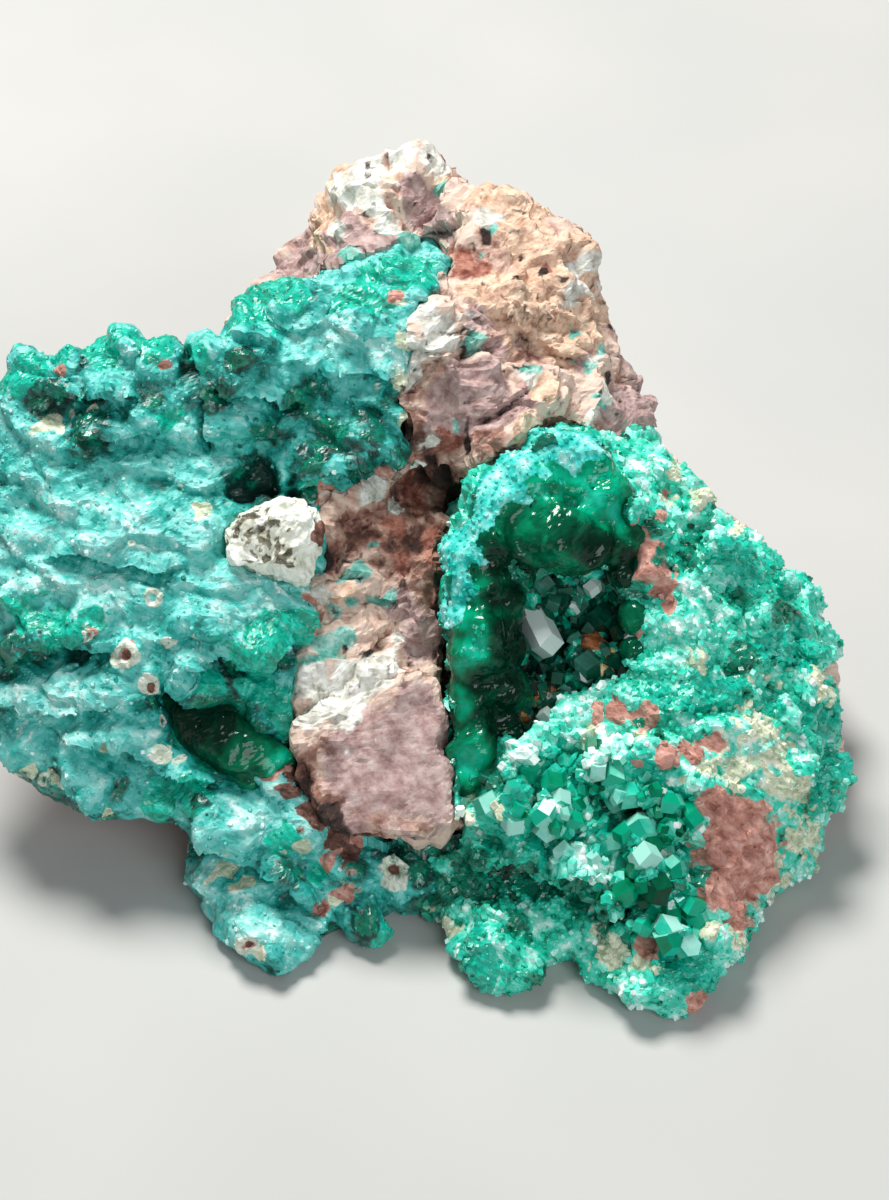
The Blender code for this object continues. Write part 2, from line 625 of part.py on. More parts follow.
# Lumps are blended in, then the surface is broken up
lumps = [ball("lump", seat_pixel(x, y, out), (r, r, r * LUMP_FLATNESS), LUMP_ROUGH, i * 1.7)
         for i, (x, y, out, r) in enumerate(LUMPS_PX)]
whole = remeshed(joined([whole] + lumps, "whole"), BLEND_VOXEL)
whole = roughened(whole)
block = hull_object("block", [seat_pixel(x, y, out) for x, y, out in BLOCK_PX])
reduce = whole.modifiers.new("Reduce", "DECIMATE")
reduce.ratio = BODY_TRIANGLES / (2 * len(whole.data.polygons))
whole = largest_body(baked(whole))
whole = boolean(whole, block, "UNION")
bpy.data.objects.remove(block)

# The base is broken off flat
floor = hull_object("floor", [Vector((x, y, z)) * MM for x in (-FLOOR_HALF, FLOOR_HALF)
                              for y in (-FLOOR_HALF, FLOOR_HALF) for z in (-FLOOR_DEEP, 0)])
whole = boolean(whole, floor, "DIFFERENCE")
bpy.data.objects.remove(floor)
print("whole", len(whole.data.polygons))

# The hollow and the crystals in it
hollow = hollow_space("hollow", 0)
lining = hollow_space("pocket_crystals", POCKET_GAP)
inner = hollow_space("inner", POCKET_GAP + LINING)
lining = boolean(lining, inner, "DIFFERENCE")
bpy.data.objects.remove(inner)
mouth = hull_object("mouth", [seat_pixel(x, y, out)
                              for x in MOUTH_X for y in MOUTH_Y for out in MOUTH_OUT])
lining = boolean(lining, mouth, "DIFFERENCE")
bpy.data.objects.remove(mouth)
bound = hollow_space("bound", POCKET_GAP + PRISM_INSET)
for x0, y0, c0, x1, y1, c1, width in PRISMS_PX:
    prism = crystals_object("prism", [
        (seat_pixel(x0, y0, c0), seat_pixel(x1, y1, c1), width, rng.uniform(0, 1)),
    ])
    prism = boolean(prism, bound, "INTERSECT")
    lining = boolean(lining, prism, "UNION")
    bpy.data.objects.remove(prism)
bpy.data.objects.remove(bound)
pocket = largest_body(lining)

# The knob and its socket
knob = ball("calcite_knob", seat_pixel(*KNOB_PX), KNOB_HALF, KNOB_ROUGH, KNOB_SEED)
socket = ball("socket", seat_pixel(*KNOB_PX), [h + GAP for h in KNOB_HALF], KNOB_ROUGH, KNOB_SEED)
small_hollow = ball("small_hollow", seat_pixel(*SMALL_HOLLOW_PX), SMALL_HOLLOW_HALF, SMALL_ROUGH, SMALL_SEED)

# The left crust
left = copy_of(whole, "left_druse")
cutter = region_cutter("left_space", LEFT_REGION_PX)
left = boolean(left, cutter, "INTERSECT")
bpy.data.objects.remove(cutter)
left = largest_body(boolean(left, socket, "DIFFERENCE"))

# The right crust with its faceted crystals
right = copy_of(whole, "right_druse")
crystals = []
for x, y, lean_across, lean_up, width in FACETED_PX:
    spot = np.array([front(x, y)])
    out = front_depth(spot)[0]
    foot = seat(spot[0, 0], spot[0, 1], out - CRYSTAL_ROOT)
    axis = (OUT + ACROSS * lean_across + UP * lean_up).normalized()
    length = CRYSTAL_ROOT + width * rng.uniform(*CRYSTAL_LENGTHS)
    crystals.append((foot, foot + axis * length * MM, width, rng.uniform(0, 1)))
crystals = crystals_object("faceted", crystals)
right = boolean(right, crystals, "UNION", True)
bpy.data.objects.remove(crystals)
cutter = region_cutter("right_space", RIGHT_REGION_PX)
right = boolean(right, cutter, "INTERSECT")
bpy.data.objects.remove(cutter)
right = boolean(right, hollow, "DIFFERENCE")
right = largest_body(boolean(right, small_hollow, "DIFFERENCE"))

# The host rock is what is left, with a fine gap round the crusts
rock = copy_of(whole, "host_rock")
bpy.data.objects.remove(whole)
for name, region in (("left_space", LEFT_REGION_PX), ("right_space", RIGHT_REGION_PX)):
    cutter = region_cutter(name, region, SIDE_GAP, BACK_GAP)
    rock = boolean(rock, cutter, "DIFFERENCE")
    bpy.data.objects.remove(cutter)
for cutter in (hollow, socket, small_hollow):
    rock = boolean(rock, cutter, "DIFFERENCE")
    bpy.data.objects.remove(cutter)
rock = largest_body(rock)


def painted(item, name, colour, roughness):
    material = bpy.data.materials.new(name)
    material.use_nodes = True
    shader = material.node_tree.nodes["Principled BSDF"]
    shader.inputs["Base Color"].default_value = (*colour, 1)
    shader.inputs["Roughness"].default_value = roughness
    item.data.materials.clear()
    item.data.materials.append(material)


painted(rock, "iron_stained_rock", (0.36, 0.2, 0.15), 0.85)
painted(left, "left_druse_green", (0.05, 0.36, 0.31), 0.4)
painted(right, "right_druse_green", (0.03, 0.33, 0.22), 0.35)
painted(pocket, "emerald", (0.01, 0.17, 0.1), 0.1)
painted(knob, "calcite", (0.62, 0.62, 0.5), 0.6)
for item in bpy.data.objects:
    xs = np.array([v.co for v in item.data.vertices]) / MM
    print(item.name, len(item.data.polygons), xs.min(0).round(2), xs.max(0).round(2))
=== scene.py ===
# %% [markdown]
# A dioptase specimen, dressed over its plain solids
#
# The real thing is a hand-sized rock: red-brown host rock, a blue-green druse crust at the
# left, an arch of glassy green crystals round a hollow at the right, and a cream knob.
# The solids give the sizes. Each one is copied, made dense, and given its broken or
# crystalline surface here. Then Geometry Nodes grow the thousands of small crystals.

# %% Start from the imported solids
import math

import bmesh
import bpy
import numpy as np
from mathutils import Matrix, Vector, noise


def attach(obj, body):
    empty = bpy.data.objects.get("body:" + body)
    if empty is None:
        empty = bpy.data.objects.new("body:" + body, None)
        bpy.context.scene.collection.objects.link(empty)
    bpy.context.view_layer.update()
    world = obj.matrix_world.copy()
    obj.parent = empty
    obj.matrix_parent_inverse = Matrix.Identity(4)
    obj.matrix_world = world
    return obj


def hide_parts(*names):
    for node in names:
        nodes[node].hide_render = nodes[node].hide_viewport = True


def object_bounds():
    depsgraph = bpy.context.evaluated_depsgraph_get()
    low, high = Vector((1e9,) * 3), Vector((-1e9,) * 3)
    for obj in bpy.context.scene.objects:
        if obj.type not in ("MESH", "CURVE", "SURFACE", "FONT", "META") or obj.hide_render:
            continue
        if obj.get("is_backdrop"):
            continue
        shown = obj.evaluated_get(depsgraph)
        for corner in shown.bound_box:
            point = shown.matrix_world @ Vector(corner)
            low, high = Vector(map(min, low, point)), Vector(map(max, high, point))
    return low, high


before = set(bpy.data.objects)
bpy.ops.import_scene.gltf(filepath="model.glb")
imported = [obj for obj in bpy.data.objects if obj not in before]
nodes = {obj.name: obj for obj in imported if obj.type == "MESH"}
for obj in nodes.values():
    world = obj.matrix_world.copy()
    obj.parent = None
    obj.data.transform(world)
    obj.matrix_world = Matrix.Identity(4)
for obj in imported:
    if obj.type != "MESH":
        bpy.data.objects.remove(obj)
cad_box = [list(corner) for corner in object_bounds()]
scene = bpy.context.scene
print("solids:", sorted(nodes))

# %% [markdown]
# Where things are on a rock
#
# A rock has no axes to measure from, so its features are named by where the photograph
# shows them: across and down in picture points, and out towards the eye in millimetres.
# The same few numbers place the camera, so the render and the features agree.

# %% The front view
MM = 0.001
MM_PER_POINT = 0.07
CENTRE = (445.0, 600.0)
PICTURE_HEIGHT = 1200
SENSOR_MM = 36
EYE = 215.0  # mm from the picture's middle to the eye
TILT = math.radians(42.0)
LIFT_UP, LIFT_OUT = 15.3, 10.0  # mm from the rock's base to the picture's middle, up the view and outwards
BASE = (-2.7, 7.5)  # mm that put the middle of the base at the origin
SIN, COS = math.sin(TILT), math.cos(TILT)
ACROSS, UP, OUT = Vector((1, 0, 0)), Vector((0, SIN, COS)), Vector((0, -COS, SIN))


def seat(x, y, out):
    """A picture point and a depth in mm, as a place in the room in metres."""
    near = (EYE - out) / EYE
    v = (CENTRE[1] - y) * MM_PER_POINT * near + LIFT_UP
    w = out + LIFT_OUT
    across = (x - CENTRE[0]) * MM_PER_POINT * near
    return Vector((across - BASE[0], v * SIN - w * COS - BASE[1], v * COS + w * SIN)) * MM


def front_view(places):
    """Room places in metres, as picture x, picture y and depth in mm."""
    x, y, z = (places / MM).T
    y = y + BASE[1]
    v, w = y * SIN + z * COS, z * SIN - y * COS
    out = w - LIFT_OUT
    near = (EYE - out) / EYE
    return np.c_[CENTRE[0] + (x + BASE[0]) / near / MM_PER_POINT,
                 CENTRE[1] - (v - LIFT_UP) / near / MM_PER_POINT, out]


print("the middle of the picture is at", [round(c * 1000, 1) for c in seat(*CENTRE, 0)], "mm")

# %% [markdown]
# Camera, floor and light
#
# The eye looks down at 42 degrees from close by. A plain pale floor and one large soft
# lamp above and behind the rock light its upper faces and throw its shadow forward, as
# in the photograph. A weak second lamp opens the shadows.

# %% Camera, floor and lamps
camera = bpy.data.objects.new("camera", bpy.data.cameras.new("camera"))
scene.collection.objects.link(camera)
scene.camera = camera
camera.location = seat(*CENTRE, 0) + OUT * EYE * MM
camera.rotation_euler = (-OUT).to_track_quat("-Z", "Y").to_euler()
camera.data.lens = SENSOR_MM * EYE / (PICTURE_HEIGHT * MM_PER_POINT)
camera.data.clip_start = 0.005
LAMP_TARGET = Vector((0, 0, 0.015))


def lamp(name, place, size, watts, colour):
    light = bpy.data.lights.new(name, "AREA")
    light.shape = "DISK"
    light.size, light.energy, light.color = size, watts, colour
    item = bpy.data.objects.new(name, light)
    item.location = place
    item.rotation_euler = (LAMP_TARGET - Vector(place)).to_track_quat("-Z", "Y").to_euler()
    scene.collection.objects.link(item)
    return item


lamp("window", place=(-0.08, 0.15, 0.36), size=0.15, watts=2.15, colour=(1.0, 0.98, 0.95))
lamp("fill", place=(0.16, -0.34, 0.26), size=0.26, watts=0.8, colour=(0.95, 0.97, 1.0))
world = bpy.data.worlds.new("studio")
world.use_nodes = True
world.node_tree.nodes["Background"].inputs["Color"].default_value = (0.8, 0.84, 0.88, 1)
world.node_tree.nodes["Background"].inputs["Strength"].default_value = 0.22
scene.world = world
scene.view_settings.view_transform = "Standard"

# %% [markdown]
# Colours and nodes
#
# Colours are written as sRGB hex, as a colour picker gives them, and one function turns
# them to the linear values that a shader wants. One more function adds a node with its
# settings, values and links, and hands back the output that the next node needs.
# Patterns read Object coordinates, so they stay on the rock from every side.

# %% Colour and node helpers
MATH, RANGE, MIX, RAMP = "ShaderNodeMath", "ShaderNodeMapRange", "ShaderNodeMix", "ShaderNodeValToRGB"
NOISE, CELLS, MASK = "ShaderNodeTexNoise", "ShaderNodeTexVoronoi", "ShaderNodeAttribute"


def linear(code):
    parts = [int(code[i:i + 2], 16) / 255 for i in (1, 3, 5)]
    return (*[c / 12.92 if c <= 0.04045 else ((c + 0.055) / 1.055) ** 2.4 for c in parts], 1)


def add(tree, kind, inputs=None, out=0, stops=(), **settings):
    """Adds a node and returns one of its outputs. Stops are a ramp's (place, hex) pairs."""
    item = tree.nodes.new(kind)
    for name, value in settings.items():
        setattr(item, name, value)
    for key, value in (inputs or {}).items():
        if isinstance(value, bpy.types.NodeSocket):
            tree.links.new(value, item.inputs[key])
        else:
            item.inputs[key].default_value = linear(value) if str(value).startswith("#") else value
    for i, (place, code) in enumerate(stops):
        mark = item.color_ramp.elements[i] if i < 2 else item.color_ramp.elements.new(place)
        mark.position, mark.color = place, linear(code)
    return item.outputs[out]


def new_material(name):
    material = bpy.data.materials.new(name)
    material.use_nodes = True
    return material, material.node_tree, material.node_tree.nodes["Principled BSDF"]


# %% Pale floor
FLOOR_DROP = 0.00003
paper, tree, shader = new_material("pale_paper_floor")
cloud = add(tree, NOISE, {"Vector": add(tree, "ShaderNodeTexCoord", out="Object"), "Scale": 30.0})
paper_tone = add(tree, RAMP, {"Fac": cloud}, stops=[(0.3, "#b9bab8"), (0.7, "#c0c0bd")])
tree.links.new(paper_tone, shader.inputs["Base Color"])
shader.inputs["Roughness"].default_value = 0.8
floor_mesh = bpy.data.meshes.new("floor")
floor_corners = [(x, y, -FLOOR_DROP) for x, y in ((-1, -1), (1, -1), (1, 1), (-1, 1))]
floor_mesh.from_pydata(floor_corners, [], [(0, 1, 2, 3)])
floor = bpy.data.objects.new("floor", floor_mesh)
floor.data.materials.append(paper)
scene.collection.objects.link(floor)
floor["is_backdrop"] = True

# %% [markdown]
# One recipe for the opaque minerals
#
# Rock, crust and calcite are all grains packed together, so one recipe serves them with
# other numbers. A base ramp runs from the mineral's dark to its light. The place on it
# comes from a value stored on each point, which also holds painted light and shade, plus
# fine grain and flecks. Layers of other minerals lie over it, some of them also carrying
# painted light and painted shade, each let in by a mask with an edge that noise makes ragged.
# The streaks slope down to the right, which is how the crystals lie on the real piece.

# %% The mineral recipe
STREAK_SLOPE = math.radians(-32)
streak_run = ACROSS * math.cos(STREAK_SLOPE) + UP * math.sin(STREAK_SLOPE)
streak_turn = Matrix([streak_run, OUT.cross(streak_run), OUT]).transposed().to_euler()
FLECK_SWING, TONE_SWING, FACET_SWING = 0.3, 0.5, 0.3
LEVEL_DROP = 0.3  # grain and flecks only add, so this brings the level back towards its middle
RAGGED_MM, RAGGED_SWING = 0.75, 1.1
LAYER_LINE = 1.06  # mask plus ragged noise at which a layer is half in
LUMP_SHARE = 0.5  # the light lumps of a noise texture are about half as wide as its wave is long
BUMP_STRENGTH = 0.7


def mineral_finish(name, base, layers, grain_mm, fleck_mm, roughs, bump_mm, ior,
                   edge=0.08, swing=0.8, streak=2.4):
    material, tree, shader = new_material(name)
    spot = add(tree, "ShaderNodeTexCoord", out="Object")
    along = add(tree, "ShaderNodeMapping", {"Vector": spot, "Rotation": streak_turn, "Scale": (streak, 1, 1)},
                vector_type="TEXTURE")
    grain = add(tree, NOISE, {"Vector": along, "Scale": LUMP_SHARE / (grain_mm * MM), "Detail": 5.0,
                              "Roughness": 0.68})
    fleck = add(tree, CELLS, {"Vector": along, "Scale": 1 / (fleck_mm * MM)}, out="Color")
    ragged = add(tree, NOISE, {"Vector": spot, "Scale": LUMP_SHARE / (RAGGED_MM * MM), "Detail": 5.0,
                               "Roughness": 0.75})
    level = add(tree, MASK, attribute_name="level", out="Fac")
    level = add(tree, MATH, {0: grain, 1: swing, 2: level}, operation="MULTIPLY_ADD")
    level = add(tree, MATH, {0: fleck, 1: FLECK_SWING, 2: level}, operation="MULTIPLY_ADD")
    for mask, mask_swing in (("tone", TONE_SWING), ("facet", FACET_SWING)):
        tone = add(tree, MASK, attribute_name=mask, out="Fac")
        level = add(tree, MATH, {0: tone, 1: mask_swing, 2: level}, operation="MULTIPLY_ADD")
    level = add(tree, MATH, {0: level, 1: LEVEL_DROP}, operation="SUBTRACT")
    colour = add(tree, RAMP, {"Fac": level}, stops=base)
    rough = add(tree, RANGE, {"Value": level, "To Min": roughs[0], "To Max": roughs[1]})
    for mask, stops, layer_rough in layers:
        share = add(tree, MASK, attribute_name=mask, out="Fac")
        share = add(tree, MATH, {0: ragged, 1: RAGGED_SWING, 2: share}, operation="MULTIPLY_ADD")
        limits = {"From Min": LAYER_LINE - edge, "From Max": LAYER_LINE + edge}
        share = add(tree, RANGE, {"Value": share, **limits}, interpolation_type="SMOOTHSTEP")
        over = add(tree, RAMP, {"Fac": grain}, stops=stops)
        colour = add(tree, MIX, {0: share, 6: colour, 7: over}, out=2, data_type="RGBA")
        rough = add(tree, MIX, {0: share, 2: rough, 3: layer_rough})
    tree.links.new(colour, shader.inputs["Base Color"])
    tree.links.new(rough, shader.inputs["Roughness"])
    shader.inputs["IOR"].default_value = ior
    height = add(tree, MATH, {0: fleck, 1: 0.5, 2: grain}, operation="MULTIPLY_ADD")
    bump = add(tree, "ShaderNodeBump",
               {"Height": height, "Distance": bump_mm * MM, "Strength": BUMP_STRENGTH})
    tree.links.new(bump, shader.inputs["Normal"])
    print(name, "has", len(tree.nodes), "nodes")
    return material


# %% [markdown]
# Dense copies of the solids
#
# The solids are faceted with large faces. A copy is merged, made into an even fine mesh
# with a voxel Remesh, and smoothed, which gives a base for relief at any scale. Every
# copy is then bent by the same slow wander, so straight seams between the pieces turn
# wavy and still meet. Each swells by a little, so that the fine gaps close.

# %% Copy, remesh and read a solid
SURFACE_SEED = 12
MERGE_GAP = 0.001 * MM
WANDER_MM, WANDER_REACH_MM = 0.55, 2.8


def dense_copy(node, name, voxel_mm, smooths):
    work = bmesh.new()
    work.from_mesh(nodes[node].data)
    bmesh.ops.remove_doubles(work, verts=work.verts, dist=MERGE_GAP)
    mesh = bpy.data.meshes.new(name)
    work.to_mesh(mesh)
    work.free()
    item = bpy.data.objects.new(name, mesh)
    scene.collection.objects.link(item)
    dense = item.modifiers.new("Dense", "REMESH")
    dense.mode, dense.voxel_size = "VOXEL", voxel_mm * MM
    soften = item.modifiers.new("Soften", "SMOOTH")
    soften.iterations, soften.factor = smooths, 0.5
    return plain(item)


def plain(item):
    """An object with its modifiers turned into its mesh."""
    graph = bpy.context.evaluated_depsgraph_get()
    graph.update()
    mesh = bpy.data.meshes.new_from_object(item.evaluated_get(graph))
    item.modifiers.clear()
    item.data = mesh
    return item


def read(item):
    """The points and normals of a mesh."""
    count = len(item.data.vertices)
    places, normals = np.empty(count * 3), np.empty(count * 3)
    item.data.vertices.foreach_get("co", places)
    item.data.vertices.foreach_get("normal", normals)
    return places.reshape(-1, 3), normals.reshape(-1, 3)


def write(item, places):
    """Puts points back, with nothing under the floor."""
    places[:, 2] = np.maximum(places[:, 2], 0)
    item.data.vertices.foreach_set("co", places.ravel())
    item.data.update()


def store(item, **masks):
    for name, values in masks.items():
        layer = item.data.attributes.get(name) or item.data.attributes.new(name, "FLOAT", "POINT")
        layer.data.foreach_set("value", np.clip(values, -1, 2).astype(np.float32))


def held(places):
    """0 on the flat base and 1 from a millimetre above it, so that the base stays flat."""
    return np.clip(places[:, 2] / MM, 0, 1)


noise.seed_set(SURFACE_SEED)  # without this the noise vectors differ from run to run


def bent(places):
    wander = [noise.noise_vector(Vector(p)) for p in places / (WANDER_REACH_MM * MM)]
    return places + np.array(wander) * WANDER_MM * MM * held(places)[:, None]


def survey(item):
    """The points and normals of a piece, its front view, and how far each point faces the eye."""
    places, normals = read(item)
    return places, normals, front_view(places), np.clip(normals @ np.array(OUT), 0, 1)


def raised(item, places, normals, relief):
    """Bends a piece, lifts its points by the relief in mm, and returns the bent points."""
    places = bent(places)
    write(item, places + normals * (relief * held(places) * MM)[:, None])
    return places


def finish_piece(item, material, node=None):
    item.data.materials.clear()
    item.data.materials.append(material)
    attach(item, "root")
    if node:
        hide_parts(node)
    item.data.calc_loop_triangles()
    print(item.name, "has", len(item.data.loop_triangles), "triangles")


# %% [markdown]
# Relief
#
# A few kinds of relief do most of the work. Fractal noise gives lumps. Chips are flat
# facets with sharp edges, as broken rock and grown crystals have: each cell of a Voronoi
# pattern leans its own way. Creases are sharp ridges between round valleys. Shelves are
# sheets that overlap like draped folds. Ledges are long lips with an undercut below,
# laid along the lines where the photograph shows dark steps. After the points, each
# pattern takes its size in mm and a seed, which moves it so that no two are alike.
# Patterns are added up in rows, each with its amount: mm in a relief, a share in a mask.

# %% Relief helpers
def summed(base, *rows):
    """A base plus every (amount, pattern) row."""
    total = base
    for amount, pattern in rows:
        total = total + amount * pattern
    return total


def lumps(places, size_mm, seed=0.0, octaves=3):
    shift = Vector((seed, seed * 0.7, -seed))
    return np.array([noise.fractal(Vector(p) + shift, 1.0, 2.1, octaves) for p in places / (size_mm * MM)])


def chips(places, size_mm, seed=0.0, soft=0.1):
    """Height of leaning facets, in units of the cell size, and a tone for each facet."""
    shift = Vector((seed, -seed, seed * 0.3))
    leans = {}
    result = np.empty((len(places), 2))
    for i, p in enumerate(places / (size_mm * MM)):
        spot = Vector(p) + shift
        gaps, centres = noise.voronoi(spot)
        height = weight = 0.0
        for gap, centre in zip(gaps[:3], centres):
            key = centre.to_tuple(3)
            if key not in leans:
                leans[key] = noise.noise_vector(centre * 7.3)
            share = math.exp((gaps[0] - gap) / soft)
            height += share * leans[key].dot(spot - centre)
            weight += share
        result[i] = height / weight, leans[centres[0].to_tuple(3)].x
    return result.T


def creases(places, size_mm, seed=0.0):
    """Sharp winding ridges with round valleys, 0 at the ridge."""
    return -np.abs(lumps(places, size_mm, seed))


def cell_gaps(places, size_mm, seed=0.0):
    """Distance to the nearest cell centre and to the cell's edge, in cell sizes."""
    shift = Vector((seed, seed, -seed))
    near = [noise.voronoi(Vector(p) + shift)[0][:2] for p in places / (size_mm * MM)]
    near = np.array(near)
    return near[:, 0], near[:, 1] - near[:, 0]


def shelves(view, places, size_mm, slope, seed):
    """Sheets that rise outwards as they go down the view and then drop back, 0 to 1."""
    down = (view[:, 1] - slope * view[:, 0]) * MM_PER_POINT / size_mm
    phase = down + 0.9 * lumps(places, 2.4 * size_mm, seed)
    share = phase - np.floor(phase)
    return np.minimum(share, (1 - share) * 5)


def line_gap(spots, line):
    """Gap in points from each spot to a line, its side (1 below), and how far along it is."""
    line = np.array(line, float)
    start, run = line[:-1], np.diff(line, axis=0)
    lengths = np.linalg.norm(run, axis=1)
    away = spots[:, None] - start[None]
    share = np.clip((away * run).sum(2) / lengths**2, 0, 1)
    off = away - share[:, :, None] * run
    gap = np.linalg.norm(off, axis=2)
    nearest, rows = gap.argmin(1), np.arange(len(spots))
    side = np.sign(run[nearest, 0] * off[rows, nearest, 1] - run[nearest, 1] * off[rows, nearest, 0])
    along = (np.r_[0, np.cumsum(lengths)][nearest] + share[rows, nearest] * lengths[nearest]) / lengths.sum()
    return gap[rows, nearest], side, along


def ledges(view, lines):
    """Lift in mm for lips, and share of shade below them."""
    lift, shade = np.zeros(len(view)), np.zeros(len(view))
    for line, lip, recess, reach in lines:
        gap, side, along = line_gap(view[:, :2], line)
        gap = gap * MM_PER_POINT
        ends = np.clip(8 * along * (1 - along), 0, 1)
        below = np.exp(-gap / reach) * np.clip(gap / 0.2, 0, 1) * (side > 0)
        above = np.exp(-gap / (0.8 * reach)) * (side <= 0)
        lift += ends * (lip * above - recess * below)
        shade = np.maximum(shade, ends * below * min(1.0, recess))
    return lift, shade


def spots_mask(view, places, spots, ragged=0.45, size_mm=1.6, seed=3.0):
    """A soft ragged mask from (x, y, radius in points) spots."""
    edge = 1 + ragged * lumps(places, size_mm, seed)
    total = np.zeros(len(view))
    for x, y, radius in spots:
        gap = np.hypot(view[:, 0] - x, view[:, 1] - y) / radius
        total = np.maximum(total, np.clip(1.6 - gap * edge * 1.25, 0, 1))
    return total


def piece_masks(view, places, rows):
    """One mask for each row: its name, spots, raggedness, size in mm and seed."""
    return {name: spots_mask(view, places, *row) for name, *row in rows}


LEDGES = [  # line in points, then lip, recess and reach in mm
    ([(0, 655), (40, 650), (70, 640), (110, 655)], 0.3, 0.8, 0.9),
    ([(182, 678), (215, 657), (262, 655), (300, 640)], 0.35, 0.9, 0.9),
    ([(163, 682), (192, 701), (234, 709), (264, 726), (291, 744)], 0.4, 1.1, 1.1),
    ([(165, 840), (215, 845), (260, 870), (300, 895), (330, 905)], 0.3, 0.9, 0.8),
    ([(33, 402), (97, 397), (143, 397)], 0.3, 0.6, 0.8),
    ([(82, 438), (143, 435)], 0.3, 0.6, 0.8),
    ([(229, 337), (276, 345)], 0.3, 0.5, 0.7),
    ([(208, 383), (263, 396), (307, 402)], 0.3, 0.7, 0.8),
    ([(322, 375), (399, 371)], 0.3, 0.6, 0.8),
    ([(292, 479), (349, 465), (410, 446)], 0.3, 0.7, 0.8),
    ([(465, 870), (498, 863), (534, 859), (551, 872), (588, 874), (622, 890), (637, 928),
      (670, 943), (718, 958)], 0.4, 0.9, 0.9),
    ([(395, 480), (420, 470), (452, 462)], 0.3, 0.9, 0.9),
    ([(470, 300), (520, 330), (560, 352), (600, 350)], 0.25, 0.8, 0.9),
    ([(300, 600), (360, 592), (415, 598)], 0.3, 0.7, 0.6),
    ([(640, 720), (690, 712), (740, 700)], 0.3, 0.5, 0.7),
    ([(196, 350), (206, 400), (212, 452)], 0.2, 0.8, 1.0),
    ([(400, 452), (425, 478), (450, 490), (475, 465), (530, 432)], 0.4, 1.2, 0.9),
    ([(470, 492), (452, 520), (447, 580), (450, 650), (452, 772)], 0.3, 1.0, 0.8),
    ([(455, 188), (440, 215), (420, 240)], 0.3, 0.8, 1.0),
    ([(40, 560), (90, 552), (140, 570), (190, 566)], 0.3, 0.6, 0.9),
    ([(60, 745), (110, 735), (165, 772), (205, 782), (270, 784)], 0.3, 0.8, 0.8),
    ([(0, 700), (60, 715), (120, 700)], 0.3, 0.6, 0.9),
    ([(400, 345), (440, 352), (478, 342)], 0.2, 0.8, 0.5),
    ([(505, 395), (548, 415), (556, 370)], 0.2, 0.7, 0.5),
    ([(346, 834), (400, 838), (464, 826)], 0.2, 1.2, 0.9),
]

# %% [markdown]
# The host rock
#
# Iron-stained carbonate rock, broken by hammer and weather: chipped faces, cracks and
# pores, dull all over. Red-brown in the column, pinkish on the flat block, tan and white
# on the peak. Chips at three sizes give the breaks, and masks placed by the photograph
# say where white calcite, a green film, rust and grime lie, and where shade is painted
# into cracks and under the block. The rock is also painted darker in its crevices, under
# the ledges and cracks, and where it sinks, and lighter where it stands proud.

# %% Host rock surface
CRACKS = [  # line in points, then lip, recess and reach in mm
    ([(408, 368), (430, 362), (446, 358)], 0.1, 1.4, 0.45),
    ([(458, 356), (474, 350), (500, 334)], 0.1, 2.0, 0.5),
    ([(420, 246), (432, 256), (444, 262)], 0.1, 1.8, 0.7),
    ([(585, 345), (592, 400), (588, 446)], -0.3, -0.8, 0.3),
    ([(545, 400), (556, 424), (580, 446)], 0.1, 1.2, 0.3),
    ([(400, 384), (412, 420), (410, 450)], 0.2, 1.0, 0.5),
    ([(398, 250), (430, 232), (470, 214)], 0.2, 0.8, 0.8),
    ([(500, 300), (530, 320), (590, 322)], 0.1, 0.7, 0.5),
    ([(330, 545), (346, 570), (372, 580)], 0.2, 1.0, 0.6),
    ([(372, 655), (380, 640), (392, 652)], 0.1, 1.4, 0.5),
    ([(610, 260), (604, 300), (612, 345)], 0.1, 0.8, 0.5),
    ([(470, 420), (500, 405), (530, 380)], 0.2, 0.9, 0.6),
]
FLAT_BLOCK = [(400, 760, 62), (380, 790, 50), (430, 790, 40), (420, 730, 34)]
JOINT_SPACING_MM, JOINT_WIDTH = 3.1, 0.09
ROCK_SWELL_MM = 0.3
rock = dense_copy("host_rock", "rock_matrix", voxel_mm=0.33, smooths=5)
places, normals, view, facing = survey(rock)
broken = 1 - 0.9 * spots_mask(view, places, FLAT_BLOCK, ragged=0.1) * (facing > 0.3)
lift, shade = ledges(view, LEDGES)
split, split_shade = ledges(view, CRACKS)
edges = cell_gaps(places, JOINT_SPACING_MM, 4.0)[1]
joints = np.clip(1 - edges / JOINT_WIDTH, 0, 1) * np.clip(0.5 + lumps(places, 5.0, 6.0), 0, 1)
big, big_tone = chips(places, 4.0, 2.0, soft=0.07)
small, small_tone = chips(places, 1.6, 5.0, soft=0.06)
fine, fine_tone = chips(places, 0.75, 7.0)
breaks = summed(0, (0.5, lumps(places, 6.0, 1.0)), (2.2, big), (1.1, small), (0.4, fine), (-0.4, joints))
relief = ROCK_SWELL_MM + broken * breaks
relief += summed(broken * summed(0, (0.2, creases(places, 2.0, 6.5)), (0.16, lumps(places, 0.6, 8.0))),
                 (0.04, lumps(places, 0.7, 9.0, octaves=2)))
ridge = relief.copy()
relief += (lift + split) * (facing > 0.05)
places = raised(rock, places, normals, relief)

